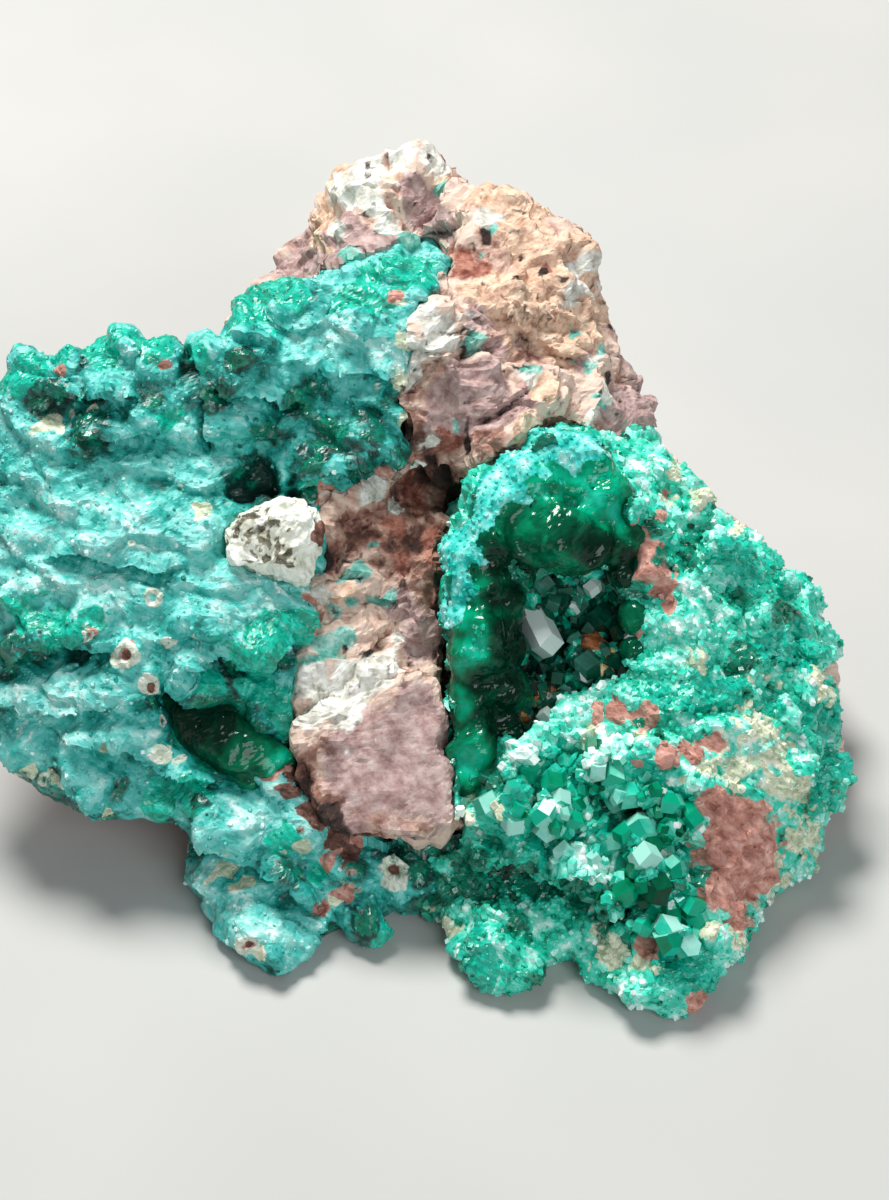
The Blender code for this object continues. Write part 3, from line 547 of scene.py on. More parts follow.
# %% Host rock masks
WHITE_ON_ROCK = [(330, 700, 30), (352, 684, 28), (345, 716, 20), (312, 718, 18), (375, 670, 18),
                 (390, 664, 12), (372, 180, 22), (356, 196, 18), (402, 165, 16), (425, 162, 14),
                 (438, 172, 10), (345, 232, 12), (385, 228, 12), (372, 210, 12), (480, 800, 16),
                 (470, 825, 12), (420, 312, 20), (438, 330, 18), (455, 345, 10), (408, 340, 14),
                 (430, 350, 14), (598, 395, 8), (590, 360, 8), (588, 420, 7), (396, 640, 8), (318, 596, 10),
                 (490, 222, 12), (576, 290, 14), (582, 268, 10), (398, 400, 8), (530, 380, 7),
                 (412, 375, 12), (372, 492, 14), (356, 480, 10), (396, 505, 8), (430, 440, 8),
                 (414, 470, 8)]
FILM_ON_ROCK = [(338, 614, 9), (356, 606, 10), (374, 600, 10), (392, 596, 10), (360, 572, 12),
                (345, 575, 8), (412, 318, 6), (428, 338, 6), (412, 372, 6), (405, 240, 12), (384, 236, 8),
                (478, 345, 12), (492, 232, 8), (330, 650, 16), (318, 668, 12), (350, 640, 10),
                (530, 372, 8), (586, 372, 8), (592, 400, 6), (350, 262, 8), (455, 425, 6), (580, 330, 6),
                (440, 190, 8), (600, 350, 6)]
PINK_ROCK = [(400, 760, 80), (480, 395, 40), (455, 410, 36), (320, 262, 40), (425, 210, 26), (625, 410, 30),
             (350, 245, 30), (610, 440, 24), (480, 318, 18), (300, 275, 30), (440, 225, 22), (570, 360, 16),
             (420, 640, 26), (400, 600, 18), (520, 400, 20), (505, 345, 16), (380, 250, 22), (410, 190, 16)]
RUST_ROCK = [(462, 258, 16), (448, 246, 10), (480, 268, 12), (548, 272, 9), (470, 520, 18), (430, 535, 14),
             (625, 445, 10), (445, 440, 16), (400, 560, 16), (420, 500, 20), (440, 560, 16), (395, 525, 14)]
TAN_ROCK = [(540, 300, 50), (570, 260, 34), (530, 240, 34), (580, 320, 34), (500, 290, 30), (470, 290, 16),
            (340, 190, 26), (330, 220, 16), (320, 245, 12), (440, 180, 12), (525, 432, 20), (560, 330, 30),
            (540, 395, 14), (330, 600, 16), (350, 590, 10), (500, 210, 26), (540, 215, 20), (395, 180, 10)]
# Painted shade: dark spots in the cracks, in the crevice beside the arch and under the block.
PAINTED_SHADE_ROCK = [(462, 494, 18), (446, 478, 14), (430, 462, 10), (322, 560, 12), (315, 545, 12), (330, 812, 18),
             (300, 795, 14), (345, 836, 14), (424, 254, 10), (486, 240, 6), (545, 274, 6), (372, 654, 7),
             (470, 440, 10), (588, 438, 6), (612, 330, 5), (470, 352, 8), (606, 380, 6), (405, 450, 8)]
# Darker red-brown in the column, and painted shade under the block.
DUSKY_AND_SHADED_ROCK = [(350, 520, 20), (430, 480, 30), (450, 520, 44), (400, 530, 44), (430, 580, 30),
              (450, 425, 30), (420, 445, 20), (330, 810, 40), (290, 790, 30), (360, 540, 20),
              (490, 440, 20), (450, 640, 12), (360, 850, 30), (330, 545, 16)]
ROCK_MASKS = [  # name, spots, raggedness, size in mm, seed
    ("white", WHITE_ON_ROCK, 0.7, 1.2, 3.0),
    ("film", FILM_ON_ROCK, 0.8, 1.0, 4.0),
    ("pink", PINK_ROCK, 0.5, 2.4, 5.0),
    ("dark", PAINTED_SHADE_ROCK, 0.6, 1.4, 6.0),
    ("rust", RUST_ROCK, 0.7, 1.6, 7.0),
    ("tan", TAN_ROCK, 0.6, 2.4, 8.0),
    ("dusky", DUSKY_AND_SHADED_ROCK, 0.5, 2.0, 9.0),
]
masks = piece_masks(view, places, ROCK_MASKS)
# Painted shade: the undercuts below the cracks, and the low crevices between the chips.
edge_shade = 0.8 * np.clip(split_shade * 1.4, 0, 1)
crevice_shade = 0.85 * np.clip(-1.8 * ridge - 0.75, 0, 1)
grime = broken * np.clip(2.4 * lumps(places, 0.8, 32.0) - 0.45, 0, 0.68)
behind = np.clip(1 - 4 * (normals @ np.array(OUT)), 0, 1)
stain = lumps(places, 4.5, 31.0)
# Painted light and shade: lighter where the relief stands proud and darker where it sinks.
level = summed(0.55, (-0.4, masks["dusky"]), (0.2, lumps(places, 1.6, 30.0)), (0.26, np.clip(ridge, -1, 1)))
store(rock, white=masks["white"], rust=0.8 * masks["rust"], tan=masks["tan"],
      film=0.9 * masks["film"] + 0.8 * behind * np.clip(-stain - 0.25, 0, 1),
      pink=np.maximum(masks["pink"], behind * np.clip(1.6 * stain, 0, 0.6)),
      dirt=0.8 * np.maximum.reduce([masks["dark"], shade, edge_shade, crevice_shade, grime]),
      level=level - behind * (0.2 + 0.3 * stain),
      facet=summed(0, (0.5, big_tone), (0.5, small_tone), (0.3, fine_tone)) * broken)

# %% Host rock finish
# Dull broken carbonate: no gloss but on calcite grains, so roughness is near 0.85.
ROCK_BASE = [(0.1, "#28150f"), (0.3, "#573429"), (0.47, "#865b4d"), (0.64, "#b28a7a"), (0.88, "#dec4b4")]
ROCK_LAYERS = [
    ("pink", [(0.3, "#84645f"), (0.46, "#ab8c88"), (0.54, "#bba09b"), (0.72, "#d3bfba")], 0.8),
    ("tan", [(0.3, "#94705d"), (0.45, "#cba78f"), (0.56, "#e2c4aa"), (0.75, "#f4e3ce")], 0.85),
    ("rust", [(0.3, "#54261b"), (0.46, "#8c4f3f"), (0.56, "#a8705f"), (0.75, "#c99a84")], 0.9),
    ("film", [(0.3, "#2a8a7a"), (0.44, "#58ab9c"), (0.56, "#93c9bd"), (0.72, "#d8e6dc")], 0.6),
    ("white", [(0.3, "#a39e92"), (0.44, "#cfcdc2"), (0.54, "#e6e6de"), (0.7, "#fdfefa")], 0.7),
    # Grime, and painted shade in cracks, crevices, under the ledges and under the block.
    ("dirt", [(0.35, "#150e0c"), (0.5, "#2b1c17"), (0.62, "#4a342c")], 0.95),
]
dolomite = mineral_finish("iron_stained_dolomite", ROCK_BASE, ROCK_LAYERS, grain_mm=0.45, fleck_mm=0.6,
                          roughs=(0.9, 0.75), bump_mm=0.12, ior=1.6, edge=0.17, streak=1.2)
finish_piece(rock, dolomite, "host_rock")

# %% [markdown]
# The left crust
#
# A skin of chrysocolla and fine dioptase: powdery pale blue-green on the worn swells,
# deep emerald in the hollows, brighter green at the thin upper edge. It also has painted
# light on the swells, the lips and the lobe tops, and painted shade in the hollows, in the
# holes round the knob and under the ledges. White-ringed pits with brown centres are
# dotted over it. It is laid down like draped cloth, in sheets that overlap downwards, so
# shelves lead the relief here.

# %% Left crust surface
RING_PITS = [  # x, y, radius in points, and how deep and brown the middle is
    (125, 655, 16, 1.0), (148, 684, 14, 1.0), (153, 596, 12, 0.5), (172, 638, 11, 0.1), (197, 637, 9, 0.1),
    (132, 545, 8, 0.2), (151, 506, 8, 0.0), (163, 754, 12, 0.4), (178, 760, 9, 0.2), (107, 740, 9, 0.0),
    (392, 873, 19, 0.9), (250, 945, 9, 1.0), (48, 779, 10, 0.5), (88, 634, 9, 0.6), (316, 382, 5, 0.4),
    (377, 386, 5, 0.6), (200, 518, 9, 0.0), (160, 724, 8, 0.3),
]
GLASS_LEFT = [(228, 738, 44), (195, 728, 26), (258, 750, 26), (205, 712, 18)]
HOLES_LEFT = [  # x, y, radius in points, and depth in mm
    (258, 486, 19, 1.8), (242, 492, 12, 1.4), (294, 478, 7, 1.4), (296, 496, 7, 1.2), (60, 775, 8, 0.8),
]
LEFT_SWELL_MM, GLASS_SINK_MM = 0.4, 0.3
LEDGE_GAIN_LEFT, RING_MM, PIT_MM = 1.9, 0.2, 0.35
RING_PLACE, RING_WIDTH, PIT_WIDTH = 0.62, 0.34, 0.42  # shares of a ring pit's radius
left = dense_copy("left_druse", "left_crust", voxel_mm=0.23, smooths=4)
places, normals, view, facing = survey(left)
lift, shade = ledges(view, LEDGES)
glass = spots_mask(view, places, GLASS_LEFT, ragged=0.15)
sheets = shelves(view, places, 4.2, slope=0.3, seed=16.0)
small_sheets = shelves(view, places, 1.7, slope=0.35, seed=17.0)
big, big_tone = chips(places, 2.4, 12.0, soft=0.08)
small, small_tone = chips(places, 0.8, 13.0)
rough = summed(0, (0.8, sheets - 0.4), (0.14, small_sheets - 0.4), (0.75, big), (0.26, small))
rough += summed(0, (0.5, creases(places, 3.0, 18.0)), (0.15, creases(places, 1.2, 19.0)),
                (0.08, lumps(places, 0.45, 14.0, octaves=2)))
height = LEFT_SWELL_MM + 0.5 * lumps(places, 5.0, 11.0) + (1 - glass) * rough
hole = np.zeros(len(view))
for x, y, radius, depth in HOLES_LEFT:
    gap = np.hypot(view[:, 0] - x, view[:, 1] - y) / radius
    hole = np.maximum(hole, depth * np.exp(-gap ** 4))
relief = height - GLASS_SINK_MM * glass - hole
ring, pit = np.zeros(len(view)), np.zeros(len(view))
wobble = 1 + 0.3 * lumps(places, 1.0, 15.0, octaves=2)
for x, y, radius, depth in RING_PITS:
    gap = np.hypot(view[:, 0] - x, view[:, 1] - y) / radius * wobble
    ring = np.maximum(ring, np.exp(-((gap - RING_PLACE * depth ** 0.3) / RING_WIDTH) ** 2))
    pit = np.maximum(pit, depth * np.exp(-((gap / PIT_WIDTH) ** 2)))
relief += (LEDGE_GAIN_LEFT * lift * (1 - 0.8 * glass) + RING_MM * ring - PIT_MM * pit) * (facing > 0.02)
places = raised(left, places, normals, relief)

# %% Left crust masks
PALE_LEFT = [(40, 700, 55), (25, 560, 50), (60, 530, 40), (95, 500, 34), (150, 520, 45), (100, 600, 45),
             (230, 600, 55), (190, 560, 40), (60, 755, 28), (250, 810, 34), (290, 825, 20), (360, 350, 34),
             (330, 335, 24), (390, 360, 22), (150, 455, 26), (150, 740, 20), (240, 900, 30), (215, 880, 24),
             (265, 930, 22), (110, 640, 20), (300, 330, 20), (185, 440, 24), (350, 425, 16), (310, 360, 16)]
# Deep emerald patches, and painted shade under the lips and along the lower front.
DEEP_AND_SHADED_LEFT = [(225, 738, 46), (190, 735, 26), (262, 752, 24), (300, 405, 26), (330, 430, 26), (270, 430, 22),
             (50, 400, 24), (90, 415, 24), (22, 655, 30), (75, 655, 20), (220, 395, 18), (90, 445, 24),
             (285, 660, 24), (240, 668, 20), (45, 792, 26), (110, 822, 22), (22, 778, 16), (78, 808, 20),
             (400, 455, 26), (360, 470, 26), (186, 366, 12), (250, 470, 20), (370, 915, 20), (420, 900, 22),
             (355, 870, 16), (150, 705, 14), (310, 455, 20), (150, 400, 20), (345, 440, 24), (370, 430, 26),
             (320, 385, 20), (440, 850, 20), (330, 930, 14), (290, 870, 18), (180, 840, 18), (120, 790, 12),
             (310, 500, 14), (425, 868, 28), (400, 850, 24), (455, 885, 24), (440, 845, 20), (395, 400, 16),
             (240, 360, 14), (200, 800, 12)]
# Glassier bright green, and painted light on the lobe tops and on the lips that face the lamp.
BRIGHT_AND_LIT_LEFT = [(30, 375, 24), (100, 342, 28), (150, 345, 24), (195, 365, 14), (215, 325, 20),
               (250, 305, 30), (290, 292, 18), (410, 272, 24), (370, 285, 20), (60, 632, 24), (30, 622, 24),
               (90, 618, 16), (270, 645, 26), (250, 690, 34), (210, 690, 20), (285, 705, 22),
               (200, 795, 26), (160, 800, 20), (285, 845, 18), (320, 870, 14), (310, 640, 18),
               (60, 345, 18), (375, 925, 14), (0, 380, 20), (170, 420, 14), (310, 500, 14), (235, 655, 20),
               (380, 305, 22), (345, 300, 20), (300, 625, 20), (260, 632, 18)]
POWDER_LEFT = [(22, 690, 34), (30, 725, 28), (45, 490, 20), (85, 540, 22), (20, 655, 18), (8, 720, 24),
               (62, 700, 14), (350, 440, 12), (130, 600, 14), (250, 825, 16), (235, 900, 16),
               (140, 360, 12)]
CREAM_LEFT = [(55, 426, 12), (90, 409, 8), (200, 515, 12), (163, 753, 8), (107, 748, 8), (225, 870, 12),
              (245, 885, 10), (340, 895, 12), (34, 768, 10), (66, 782, 8), (110, 808, 8), (305, 595, 10),
              (392, 873, 10), (300, 845, 10), (404, 340, 12), (400, 380, 10), (405, 420, 10),
              (335, 845, 12), (260, 955, 8), (402, 300, 10), (410, 455, 8)]
ROCK_LEFT = [(400, 300, 8), (402, 400, 6), (408, 450, 8), (330, 500, 12), (305, 600, 8), (345, 890, 12),
             (322, 905, 12), (250, 945, 7), (275, 775, 14), (316, 640, 8), (300, 700, 6), (330, 860, 10),
             (125, 655, 9), (148, 684, 7), (60, 372, 6), (385, 472, 14), (345, 845, 14), (165, 365, 6),
             (92, 632, 6)]
# Painted shade under the block's overhang.
SHADE_UNDER_BLOCK_LEFT = [(300, 775, 18), (314, 815, 22), (336, 836, 18), (348, 852, 14), (290, 795, 12)]
LEFT_MASKS = [  # name, spots, raggedness, size in mm, seed
    ("pale", PALE_LEFT, 0.7, 1.6, 31.0),
    ("deep", DEEP_AND_SHADED_LEFT, 0.5, 1.3, 32.0),
    ("bright", BRIGHT_AND_LIT_LEFT, 0.6, 1.3, 33.0),
    ("cream", CREAM_LEFT, 0.8, 0.9, 35.0),
    ("bare", ROCK_LEFT, 0.7, 0.9, 36.0),
    ("powder", POWDER_LEFT, 0.5, 1.2, 39.0),
    ("dirt", SHADE_UNDER_BLOCK_LEFT, 0.6, 1.0, 40.0),
]
CRUST_BACK = -16  # mm of depth behind which nothing grows
masks = piece_masks(view, places, LEFT_MASKS)
pale, deep = masks["pale"], masks["deep"]
blotch = lumps(places, 1.3, 34.0)
dark_zone = np.clip((lumps(places, 2.6, 37.0) - 0.14) / 0.12, 0, 1)
# Painted light and shade: lighter on the swells, darker in the low parts, below the ledges and in the holes
# round the knob.
level = summed(0.44, (0.13, pale), (-0.44, deep), (-0.34, glass), (0.12, blotch),
               (0.12, np.clip(height, -0.8, 0.8)))
level -= 0.22 * dark_zone + 0.4 * shade * (1 - glass) * (facing > 0.02) + 0.12 * (facing <= 0) + 0.5 * hole
bright = masks["bright"] * (1 - 0.6 * deep) * (1 - glass)
specks = np.clip(lumps(places, 0.5, 38.0), 0, 1)
store(left, level=level, bright=bright * (1 - np.clip(hole, 0, 1)), cream=0.8 * masks["cream"],
      bare=masks["bare"],
      white=summed(0, (0.2, pale), (0.3, masks["powder"]), (-0.5, deep), (-1, glass), (0.36, specks)) - 0.18,
      ring=0.8 * ring * (facing > 0.05),
      # The brown ring-pit centres, and the painted shade under the block.
      pit=np.maximum(0.9 * pit * (facing > 0.05), 0.8 * masks["dirt"]),
      emerald=np.maximum(1.2 * glass, 0.5 * deep + 0.12 * dark_zone),
      facet=(1 - glass) * (0.35 * big_tone + 0.2 * small_tone))
front_share = np.clip((normals @ np.array(OUT)) * 1.5 + 0.35, 0, 1) * (view[:, 2] > CRUST_BACK)
store(left, grow=front_share * (1 - glass) * (1 - pit) * (0.35 + 0.65 * np.clip(blotch * 3, 0, 1)))

# %% [markdown]
# The crust's finish
#
# Chrysocolla is a dull, chalky blue-green skin, and fine dioptase a sparkling emerald one.
# Both crusts share one set of layers: bare rock, cream calcite, white powder and the
# rings. Dark parts are glassier than pale ones, so roughness follows the ramp.

# %% Crust finish
TEALS = [(0.0, "#033029"), (0.16, "#0a534a"), (0.3, "#12857b"), (0.43, "#22ada2"), (0.6, "#55c4bc"),
         (0.8, "#90d6cf"), (1.0, "#e6f8f4")]
# The bright layer also paints light, and the pit and emerald layers also paint shade where their masks say
# so.
CRUST_LAYERS = [
    ("bright", [(0.3, "#027f66"), (0.44, "#04a68b"), (0.55, "#0abfa5"), (0.72, "#48d9c5")], 0.25),
    ("white", [(0.33, "#a3d3cd"), (0.48, "#d6eee9"), (0.62, "#ffffff")], 0.6),
    ("cream", [(0.3, "#7f9f84"), (0.44, "#b9c8a9"), (0.54, "#dcdfc4"), (0.7, "#f8f7e8")], 0.75),
    ("bare", [(0.3, "#84503f"), (0.46, "#b98172"), (0.56, "#d09b8c"), (0.72, "#ebc8bb")], 0.85),
    ("ring", [(0.35, "#a3b29c"), (0.5, "#cfd8c6"), (0.65, "#eff3e8")], 0.7),
    ("pit", [(0.35, "#3a201a"), (0.5, "#6b473b"), (0.65, "#8d6a5d")], 0.85),
    ("emerald", [(0.3, "#015540"), (0.46, "#047057"), (0.58, "#0c8b70"), (0.74, "#3fc0a6")], 0.12),
]
druse = mineral_finish("chrysocolla_druse", TEALS, CRUST_LAYERS, grain_mm=0.3, fleck_mm=0.36,
                       roughs=(0.3, 0.65), bump_mm=0.13, ior=1.58, swing=0.6)
finish_piece(left, druse, "left_druse")

# %% [markdown]
# The right crust
#
# Here the dioptase is coarser. The shoulder is sugary, green and white like salt and
# pepper, with bare brown rock showing through. The lower right is a knot of bright
# faceted crystals round a second small hollow. Chips lead the relief, not shelves.

# %% Right crust surface
ARCH = [(474, 770, 30), (470, 725, 28), (476, 680, 32), (474, 640, 32), (474, 600, 32), (480, 555, 36),
        (500, 512, 36), (530, 485, 38), (562, 465, 34), (592, 485, 32), (610, 515, 28), (556, 520, 36),
        (594, 545, 26), (622, 560, 20), (500, 620, 28), (500, 690, 32), (526, 576, 24), (518, 604, 22)]
FACETED = [(560, 800, 60), (640, 850, 80), (690, 900, 50), (600, 765, 40), (520, 800, 36), (660, 930, 40)]
RIGHT_SWELL_MM, ARCH_SINK_MM, LEDGE_GAIN_RIGHT = 0.2, 0.9, 1.3
right = dense_copy("right_druse", "right_crust", voxel_mm=0.23, smooths=3)
places, normals, view, facing = survey(right)
lift, shade = ledges(view, LEDGES)
arch = spots_mask(view, places, ARCH, ragged=0.15)
faceted = spots_mask(view, places, FACETED, ragged=0.2)
big, big_tone = chips(places, 2.3, 22.0, soft=0.05)
small, small_tone = chips(places, 1.1, 23.0, soft=0.06)
relief = RIGHT_SWELL_MM + 0.5 * lumps(places, 4.0, 21.0)
relief += (1 - 0.7 * arch) * ((0.9 + 2.8 * faceted) * big + (0.4 + 0.8 * faceted) * small)
relief += (1 - arch) * (1 - faceted) * 0.5 * (shelves(view, places, 2.6, slope=0.4, seed=26.0) - 0.4)
relief += 0.06 * lumps(places, 0.5, 24.0, octaves=2) - ARCH_SINK_MM * arch
height = relief.copy()
relief += LEDGE_GAIN_RIGHT * lift * (facing > 0.02)
places = raised(right, places, normals, relief)

# %% Right crust masks
PALE_RIGHT = [(472, 528, 16), (462, 545, 14), (485, 512, 12), (502, 492, 12), (545, 452, 16),
              (560, 440, 14), (650, 460, 22), (668, 480, 18), (700, 590, 26), (690, 640, 30),
              (730, 560, 26), (740, 640, 16), (655, 640, 18), (780, 760, 40), (740, 745, 26),
              (810, 790, 30), (800, 720, 18), (690, 770, 18), (610, 740, 14), (580, 730, 12),
              (535, 925, 22), (510, 950, 12), (560, 940, 12), (470, 830, 16), (600, 770, 14),
              (625, 992, 22), (820, 840, 18), (770, 800, 22), (555, 860, 14)]
# Deep emerald patches, and painted shade along the underside of the lower lobes.
DEEP_AND_SHADED_RIGHT = [(560, 545, 32), (590, 535, 22), (500, 560, 26), (480, 600, 24), (490, 570, 22),
              (500, 680, 34), (495, 720, 24), (515, 650, 30), (636, 806, 22), (600, 805, 16),
              (665, 820, 18), (655, 890, 26), (700, 880, 18), (640, 915, 18), (780, 612, 18),
              (745, 655, 18), (620, 560, 20), (640, 590, 18), (470, 640, 16), (735, 600, 14),
              (480, 760, 16), (440, 895, 26), (475, 882, 20), (510, 884, 18), (545, 888, 18),
              (580, 900, 20), (605, 925, 20), (540, 975, 14), (490, 905, 16), (515, 928, 20),
              (470, 868, 24), (500, 880, 20), (530, 878, 22), (562, 884, 18), (660, 560, 14),
              (690, 560, 14), (655, 530, 14), (640, 720, 8)]
# Bright green crystal, and painted light on the top of the arch, its outer bulge and the glossy lower facets.
BRIGHT_AND_LIT_RIGHT = [(480, 660, 20), (472, 580, 18), (470, 700, 16), (480, 750, 18), (520, 500, 24),
                (560, 480, 28), (600, 500, 22), (610, 530, 16), (540, 470, 24), (520, 800, 34),
                (560, 770, 30), (545, 830, 26), (600, 840, 24), (640, 860, 24), (680, 800, 20),
                (770, 590, 26), (740, 560, 22), (800, 660, 24), (820, 720, 24), (830, 770, 20),
                (700, 690, 24), (660, 700, 18), (770, 710, 16), (500, 830, 20), (690, 900, 22),
                (670, 930, 22), (650, 770, 18), (730, 690, 18), (780, 640, 26), (700, 860, 20),
                (640, 900, 20), (822, 800, 16), (460, 560, 12), (760, 650, 18), (485, 965, 22),
                (475, 940, 14), (680, 960, 30), (700, 985, 20), (660, 925, 22), (500, 815, 24),
                (545, 850, 22)]
CREAM_RIGHT = [(530, 462, 12), (510, 478, 10), (560, 442, 8), (675, 470, 10), (700, 500, 12),
               (735, 530, 10), (690, 660, 12), (760, 730, 24), (735, 765, 22), (785, 790, 28),
               (800, 835, 24), (770, 760, 20), (815, 680, 12), (700, 770, 12), (745, 900, 14),
               (770, 860, 14), (710, 930, 12), (480, 800, 14), (470, 818, 12), (590, 735, 10),
               (720, 740, 14), (755, 680, 8), (640, 960, 14), (610, 955, 12), (690, 745, 10),
               (735, 930, 14), (780, 880, 12), (640, 735, 10), (820, 690, 10), (668, 500, 8),
               (612, 950, 18), (600, 935, 10), (450, 925, 10), (430, 908, 8)]
ROCK_RIGHT = [(648, 560, 22), (660, 590, 12), (640, 535, 12), (670, 610, 8), (600, 716, 14), (622, 712, 16),
              (645, 716, 14), (665, 757, 12), (690, 752, 14), (715, 742, 10), (640, 760, 6), (732, 820, 34),
              (735, 850, 40), (745, 880, 30), (722, 890, 26), (758, 835, 26), (735, 915, 20),
              (765, 870, 18), (712, 800, 20), (665, 490, 6), (638, 632, 7), (652, 950, 14), (695, 1000, 12),
              (660, 515, 8)]
RIGHT_MASKS = [  # name, spots, raggedness, size in mm, seed
    ("pale", PALE_RIGHT, 0.7, 1.2, 41.0),
    ("deep", DEEP_AND_SHADED_RIGHT, 0.5, 1.2, 42.0),
    ("bright", BRIGHT_AND_LIT_RIGHT, 0.5, 1.2, 43.0),
    ("cream", CREAM_RIGHT, 0.9, 1.0, 45.0),
    ("bare", ROCK_RIGHT, 0.5, 1.2, 46.0),
]
masks = piece_masks(view, places, RIGHT_MASKS)
pale, deep, bare = masks["pale"], masks["deep"], masks["bare"]
bright = masks["bright"] * (1 - 0.7 * deep)
blotch, speckle = lumps(places, 1.0, 44.0), lumps(places, 0.8, 47.0)
dark_zone = np.clip((lumps(places, 1.8, 48.0) - 0.1) / 0.1, 0, 1)
# Painted light and shade: lighter on the raised parts, darker in the low ones and below the ledges.
crust_level = summed(0.38, (0.1, pale), (-0.4, deep), (0.28, blotch), (0.14, np.clip(height, -0.8, 0.8)),
                     (0.19, faceted))
crust_level -= 0.18 * dark_zone + 0.4 * shade * (facing > 0.02) + 0.12 * (facing <= 0)
store(right, level=crust_level, bright=bright + 0.1, bare=bare,
      cream=0.78 * masks["cream"] + 0.4 * lumps(places, 0.6, 49.0) - 0.04,
      white=summed(0, (0.2, pale), (-0.6, deep), (-0.2, bright), (0.5, speckle)) - 0.27,
      emerald=np.maximum(1.2 * arch, 0.6 * deep + 0.1 * dark_zone),
      facet=(0.4 + 0.6 * faceted) * (0.6 * big_tone + 0.6 * small_tone))
front_share = np.clip((normals @ np.array(OUT)) * 1.5 + 0.35, 0, 1)
front_share = front_share * (1 - np.clip(1.3 * arch, 0, 1)) * (1 - 0.8 * bare)

# %% Right crust finish
# The same minerals as on the left, but coarser and glossier, so dioptase makes the base.
EMERALDS = [(0.0, "#01261c"), (0.14, "#025a42"), (0.28, "#029575"), (0.42, "#08c3a3"), (0.6, "#35d4b9"),
            (0.8, "#8ce5d4"), (1.0, "#eefdf8")]
sugar = mineral_finish("sugary_dioptase_crust", EMERALDS, CRUST_LAYERS, grain_mm=0.34, fleck_mm=0.5,
                       roughs=(0.12, 0.5), bump_mm=0.16, ior=1.62)
finish_piece(right, sugar, "right_druse")

# %% [markdown]
# Glassy masses
#
# Round glassy masses of dioptase stand over the hollow like a horseshoe, and one more
# fills a pocket under a lip of the left crust. They are melted together from balls with a
# voxel Remesh, which is how such masses look: one skin with swellings. The crystal is
# clear but deep and cloudy, so a small share of the light goes through it by plain
# transmission, and a volume soaks up red and blue as that light goes deeper.

# %% Glassy masses
ARCH_MASSES = [  # across and down in points, out in mm, radius in mm
    (470, 776, 2.2, 1.7), (474, 748, 2.6, 1.9), (468, 716, 2.2, 1.6), (488, 760, 1.6, 1.5),
    (470, 690, 2.6, 1.7), (476, 655, 3.4, 2.2), (482, 630, 3.6, 2.1), (466, 612, 3.0, 1.7),
    (478, 585, 3.4, 2.1), (468, 556, 3.2, 1.9), (492, 540, 3.4, 2.2), (502, 508, 2.8, 2.3),
    (530, 488, 2.4, 2.7), (556, 462, 1.6, 2.6), (585, 474, 1.6, 2.5), (604, 502, 1.8, 2.2),
    (540, 520, 3.0, 2.3), (566, 540, 3.6, 2.5), (584, 545, 3.0, 2.0), (620, 540, 1.6, 1.9),
    (628, 575, 1.2, 1.6), (510, 572, 1.8, 2.0), (502, 604, 2.2, 1.7), (498, 650, 1.6, 2.2),
    (504, 690, 1.2, 2.2), (498, 728, 1.0, 1.9), (638, 615, 1.2, 1.3), (636, 655, 1.2, 1.2),
    (486, 676, 2.6, 1.5), (520, 545, 2.6, 1.7),
]
LEFT_MASSES = [
    (176, 703, 0.0, 1.4), (196, 718, 0.6, 2.0), (220, 734, 1.0, 2.3), (243, 746, 1.1, 2.3),
    (264, 757, 1.0, 2.0), (282, 764, 0.6, 1.5), (226, 758, 0.6, 1.6), (250, 772, 0.6, 1.5),
    (202, 742, 0.3, 1.6),
]
GLASS_RIM = [(450, 600), (452, 560), (462, 528), (484, 500), (506, 474), (530, 452), (556, 442), (584, 450)]
RIM_REACH = 22  # points
MASS_SINK = 0.35  # share of a ball's radius that is set back into the crust
GLASS_VOXEL_MM = 0.2
GLASS_LIT = [(475, 650, 22), (468, 665, 16), (560, 468, 34), (600, 484, 30), (530, 484, 16), (616, 512, 18),
             (465, 700, 14), (470, 765, 20), (462, 620, 14), (580, 480, 24), (482, 600, 16), (278, 766, 14)]
# Painted shade on the arch's inner side and on the left pod under the lip of the crust.
GLASS_SHADED = [(598, 548, 18), (505, 565, 22), (502, 600, 20), (520, 640, 30), (505, 680, 34),
              (500, 715, 28), (500, 730, 20), (630, 580, 22), (628, 556, 12), (530, 572, 12),
              (196, 718, 30), (222, 730, 18)]


